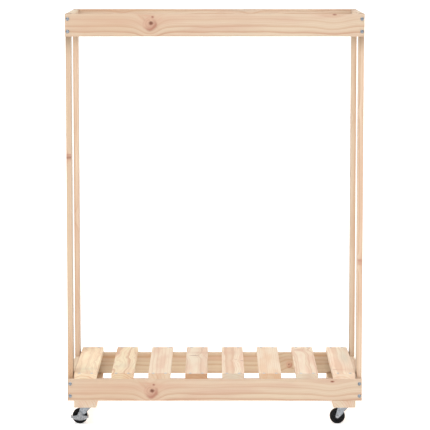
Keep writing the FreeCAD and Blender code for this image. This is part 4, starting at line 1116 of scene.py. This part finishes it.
@dataclass
class Wheel:
    """A wheel: a ribbed core and a tyre, both about the axle."""

    corner: str
    axle: tuple[float, float, float]
    wheel_radius: float = 20.0
    tyre_half: float = 8.0
    seat_radius: float = 16.0
    shoulder: float = 2.4
    rim_inner: float = 13.4
    rim_half: float = 7.0
    disc_half: float = 2.2
    hub_radius: float = 5.0
    hub_half: float = 8.6
    bore: float = 2.55
    rib_count: int = 8

    def make_tyre(self) -> bpy.types.Object:
        """A tyre with a crowned tread, a moulding line and a raised ring on each side."""
        high, half = self.wheel_radius, self.tyre_half
        side = [(self.seat_radius, half - 1.0), (self.seat_radius + 0.5, half - 0.35),
                (self.seat_radius + 1.0, half - 0.3), (self.seat_radius + 1.2, half),
                (self.seat_radius + 1.7, half)]
        round_off = arc((high - self.shoulder - 0.12, half - self.shoulder), self.shoulder,
                        80, 6, 7)
        tread = [(high - 0.07, 3.4), (high - 0.02, 1.4), (high - 0.1, 0.34),
                 (high, 0.16)]
        upper = side + round_off + tread
        section = upper + [(radius, -y) for radius, y in reversed(upper)]
        mesh = bmesh.new()
        add_turned(mesh, section, LATHE_STEPS)
        return to_object(f"tyre_{self.corner}", mesh, self.axle)

    def make_core(self) -> bpy.types.Object:
        """A moulded core: hub, disc, grooved rim and ribs on both sides."""
        upper = [
            (self.bore, self.hub_half - 0.3), (self.bore + 0.3, self.hub_half),
            (self.hub_radius - 0.5, self.hub_half), (self.hub_radius, self.hub_half - 0.5),
            (self.hub_radius + 0.25, self.disc_half + 1.0),
            (self.hub_radius + 1.0, self.disc_half), (self.rim_inner - 1.2, self.disc_half),
            (self.rim_inner - 0.3, self.disc_half + 0.7), (self.rim_inner, self.rim_half - 0.5),
            (self.rim_inner + 0.4, self.rim_half), (self.rim_inner + 0.9, self.rim_half),
            (self.rim_inner + 1.1, self.rim_half - 0.45),
            (self.rim_inner + 1.5, self.rim_half - 0.45),
            (self.rim_inner + 1.7, self.rim_half), (self.seat_radius - 0.3, self.rim_half),
            (self.seat_radius - 0.02, self.rim_half - 0.3),
        ]
        section = upper + [(radius, -y) for radius, y in reversed(upper)]
        mesh = bmesh.new()
        add_turned(mesh, section, LATHE_STEPS)
        for number in range(self.rib_count):
            turn = Matrix.Rotation(number * math.tau / self.rib_count, 3, "Y")
            for side in (-1, 1):
                self._add_rib(mesh, turn, side)
        return to_object(f"wheel_core_{self.corner}", mesh, self.axle)

    def _add_rib(self, mesh: bmesh.types.BMesh, turn: Matrix, side: int) -> None:
        """Adds one tapering rib from the hub to the rim.

        Args:
            mesh: Where it is added.
            turn: Its rotation about the axle.
            side: The side of the disc it stands on.
        """
        inner, outer = self.hub_radius - 0.3, self.rim_inner + 0.3
        floor = side * (self.disc_half - 0.3)
        near, far = side * (self.hub_half - 2.6), side * (self.rim_half - 1.6)
        corners = [(inner, floor, -0.75), (outer, floor, -0.6), (outer, far, -0.45),
                   (inner, near, -0.55)]
        corners += [(x, y, -z) for x, y, z in corners]
        add_block(mesh, [tuple(turn @ Vector(corner)) for corner in corners], 0.14)

    def finish(self, looks: CasterFinishes) -> None:
        """Makes both pieces, which stand for their CAD nodes and roll with the wheel.

        Args:
            looks: The casters' finishes.
        """
        body = f"caster_{self.corner}_wheel"
        for made, look, node, slot in (
                (self.make_tyre(), looks.tyre, "tyre", "tyre_black"),
                (self.make_core(), looks.core, "wheel_core", "wheel_black")):
            fit(made, look, body)
            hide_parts(f"caster_{self.corner}_{node}")


@dataclass
class Fork:
    """The pressed fork's dimple and stiffening bead, on both legs."""

    corner: str
    axle: tuple[float, float, float]
    face: float = 10.5
    dimple_at: tuple[float, float] = (6.2, 14.5)
    dimple_radius: float = 3.0
    bead: tuple[tuple[float, float], ...] = ((1.9, 22.5), (0.1, 15.0), (-2.0, 7.2))

    def make_pressings(self) -> bpy.types.Object:
        """A ring dimple, and a bead along the back edge, on each leg's outer face."""
        mesh = bmesh.new()
        ring = arc(self.dimple_at, self.dimple_radius, 0, 345, 23)
        for outward in (-1, 1):
            add_bead(mesh, ring, outward * self.face, outward, 0.55, 0.42, True)
            add_bead(mesh, self.bead, outward * self.face, outward, 0.5, 0.34, False)
        return to_object(f"fork_pressings_{self.corner}", mesh, self.axle, 50)

    def finish(self, looks: CasterFinishes) -> None:
        """Dresses the fork and what turns with it.

        Args:
            looks: The casters' finishes.
        """
        fit(self.make_pressings(), looks.zinc, f"caster_{self.corner}_fork")
        for part in ("fork", "plate"):
            dress(f"caster_{self.corner}_{part}", looks.zinc)
        for part in ("axle", "king_pin", "balls"):
            dress(f"caster_{self.corner}_{part}", looks.steel)


@dataclass
class Brake:
    """The rocking brake pedal's pressed ring and the grip ribs on its two foot rests."""

    corner: str
    axle: tuple[float, float, float]
    face: float = -13.9
    ring_radius: float = 4.3
    waist: tuple[float, float] = (7.0, 4.5)
    tip: tuple[float, float] = (23.0, 1.4)
    rest_from: float = -19.9
    rest_to: float = -14.4
    rib_count: int = 6

    def make_details(self) -> bpy.types.Object:
        """The ring on the plate, and small ribs across each foot rest."""
        mesh = bmesh.new()
        add_bead(mesh, arc((0.0, -1.6), self.ring_radius, 0, 348, 29), self.face, -1, 0.6,
                 0.4, True)
        keel = [(-17.5, -2.2), (-11.0, -5.6), (-5.0, -8.0), (0.0, -8.7), (5.0, -8.0),
                (11.0, -5.6), (17.5, -2.2)]
        add_bead(mesh, keel, self.face, -1, 0.45, 0.3, False)
        for side in (-1, 1):
            for number in range(self.rib_count):
                self._add_rib(mesh, side, (number + 1) / (self.rib_count + 1))
        return to_object(f"pedal_grip_{self.corner}", mesh, self.axle, 40)

    def _add_rib(self, mesh: bmesh.types.BMesh, side: int, share: float) -> None:
        """Adds one grip rib.

        Args:
            mesh: Where it is added.
            side: The wing it is on.
            share: Its place from the waist to the tip, 0 to 1.
        """
        x_mid = side * (self.waist[0] + (self.tip[0] - self.waist[0]) * share)
        z_mid = self.waist[1] + (self.tip[1] - self.waist[1]) * share
        low, high = z_mid - 0.3, z_mid + 0.32
        corners = [(x_mid - 0.4, self.rest_from, low), (x_mid + 0.4, self.rest_from, low),
                   (x_mid + 0.4, self.rest_to, low), (x_mid - 0.4, self.rest_to, low)]
        corners += [(x, y, high) for x, y, _ in corners]
        add_block(mesh, corners, 0.12)

    def finish(self, looks: CasterFinishes) -> None:
        """Dresses the pedal and its rivet.

        Args:
            looks: The casters' finishes.
        """
        fit(self.make_details(), looks.pedal, f"caster_{self.corner}_pedal")
        dress(f"caster_{self.corner}_brake_pedal", looks.pedal)
        dress(f"caster_{self.corner}_brake_pivot", looks.steel)


@dataclass
class Casters:
    """The four casters, two of them braked on one diagonal."""

    out: float = 337.0
    inset: float = 155.0
    offset: float = -16.0
    axle_height: float = 20.0
    braked: tuple[Corner, ...] = (Corner.FRONT_LEFT, Corner.REAR_RIGHT)
    zinc: Zinc = Zinc("caster_zinc", (0.31, 0.33, 0.35), (0.17, 0.182, 0.20), 0.30)
    pedal: Zinc = Zinc("pedal_zinc", (0.31, 0.32, 0.33), (0.15, 0.155, 0.165), 0.30)
    steel: Zinc = Zinc("ball_steel", (0.34, 0.35, 0.37), (0.24, 0.25, 0.27), 0.24)
    core: Moulded = Moulded("wheel_black", rough=0.45)
    tyre: Moulded = Moulded("tyre_black", (0.003, 0.003, 0.0035), (0.010, 0.010, 0.011),
                            rough=0.62, dusty=0.22)

    def finish(self) -> None:
        """Makes and dresses every caster."""
        looks = CasterFinishes(self.zinc.material(), self.pedal.material(),
                               self.steel.material(), self.core.material(),
                               self.tyre.material())
        for corner in Corner:
            name, x_side, y_side = corner.value
            axle = (x_side * self.out + self.offset, y_side * self.inset, self.axle_height)
            Wheel(name, axle).finish(looks)
            Fork(name, axle).finish(looks)
            if corner in self.braked:
                Brake(name, axle).finish(looks)


# ---------------------------------------------------------------------------
# The studio
# ---------------------------------------------------------------------------

@dataclass(frozen=True)
class Lamp:
    """One soft light, aimed at a point: a rectangle, or a far one with no size."""

    name: str
    at: tuple[float, float, float]
    aim: tuple[float, float, float]
    power: float
    size: tuple[float, float] = (0.0, 0.0)
    spread: float = 50.0

    def hang(self) -> None:
        """Adds the light to the scene."""
        if self.size[0]:
            data = bpy.data.lights.new(self.name, "AREA")
            data.shape = "RECTANGLE"
            data.size, data.size_y = self.size
        else:
            data = bpy.data.lights.new(self.name, "SUN")
            data.angle = math.radians(self.spread)
        data.energy = self.power
        lamp = bpy.data.objects.new(self.name, data)
        lamp.location = self.at
        way = Vector(self.aim) - Vector(self.at)
        lamp.rotation_euler = way.to_track_quat("-Z", "Y").to_euler()
        bpy.context.scene.collection.objects.link(lamp)


@dataclass
class Studio:
    """Plain pale floor, soft light all round, lamps above, and the camera."""

    eye: tuple[float, float, float] = (0.0006, -6.1885, 1.2714)
    down: float = 6.8245
    lens: float = 196.1
    sky: float = 0.72
    horizon: float = 1.2
    lamps: tuple[Lamp, ...] = (
        Lamp("overhead", (-0.3, -0.9, 4.0), (0, 0, 0), 1.62),
        Lamp("front", (0.3, -4.0, 1.2), (0, 0, 0.4), 0.7, spread=70.0),
        Lamp("softbox", (-1.4, -2.6, 3.0), (0, 0, 0.5), 8.0, (1.6, 1.2)),
    )
    floor_half: float = 30.0
    floor: Ground = field(default_factory=Ground)

    def finish(self) -> None:
        """Sets up floor, world, lamps, camera and the way colours are shown."""
        mesh = bmesh.new()
        bmesh.ops.create_grid(mesh, x_segments=8, y_segments=8, size=self.floor_half / MM)
        floor = to_object("floor", mesh, (0.0, 0.0, 0.0))
        floor.data.materials.append(self.floor.material())

        world = bpy.data.worlds.new("studio")
        bpy.context.scene.world = world
        graph = Graph(world)
        way = graph.split(graph.signal("ShaderNodeTexCoord", {}, {}, "Generated"))
        up = way[2].size().rise(0.10, 0.45)
        strength = self.horizon + up * (self.sky - self.horizon)
        light = graph.signal("ShaderNodeBackground", {},
                             {"Color": (1.0, 1.0, 1.0), "Strength": strength})
        graph.node("ShaderNodeOutputWorld", {}, {"Surface": light})

        for lamp in self.lamps:
            lamp.hang()
        data = bpy.data.cameras.new("camera")
        data.lens = self.lens
        data.sensor_width = 36.0
        camera = bpy.data.objects.new("camera", data)
        camera.location = self.eye
        camera.rotation_euler = (math.radians(90.0 - self.down), 0.0, 0.0)
        bpy.context.scene.collection.objects.link(camera)
        bpy.context.scene.camera = camera
        view = bpy.context.scene.view_settings
        view.view_transform = "Standard"
        view.look = "None"
        view.exposure = 0.0
        LOG.info("studio ready")


def main() -> None:
    """Builds and dresses everything in order."""
    logging.basicConfig(level=logging.INFO, format="%(name)s %(message)s")
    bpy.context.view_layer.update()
    for part in (Studio(), Rails(), Posts(), SideBoards(), Deck(), Fasteners(), Casters()):
        part.finish()


if __name__ == "__main__":
    main()
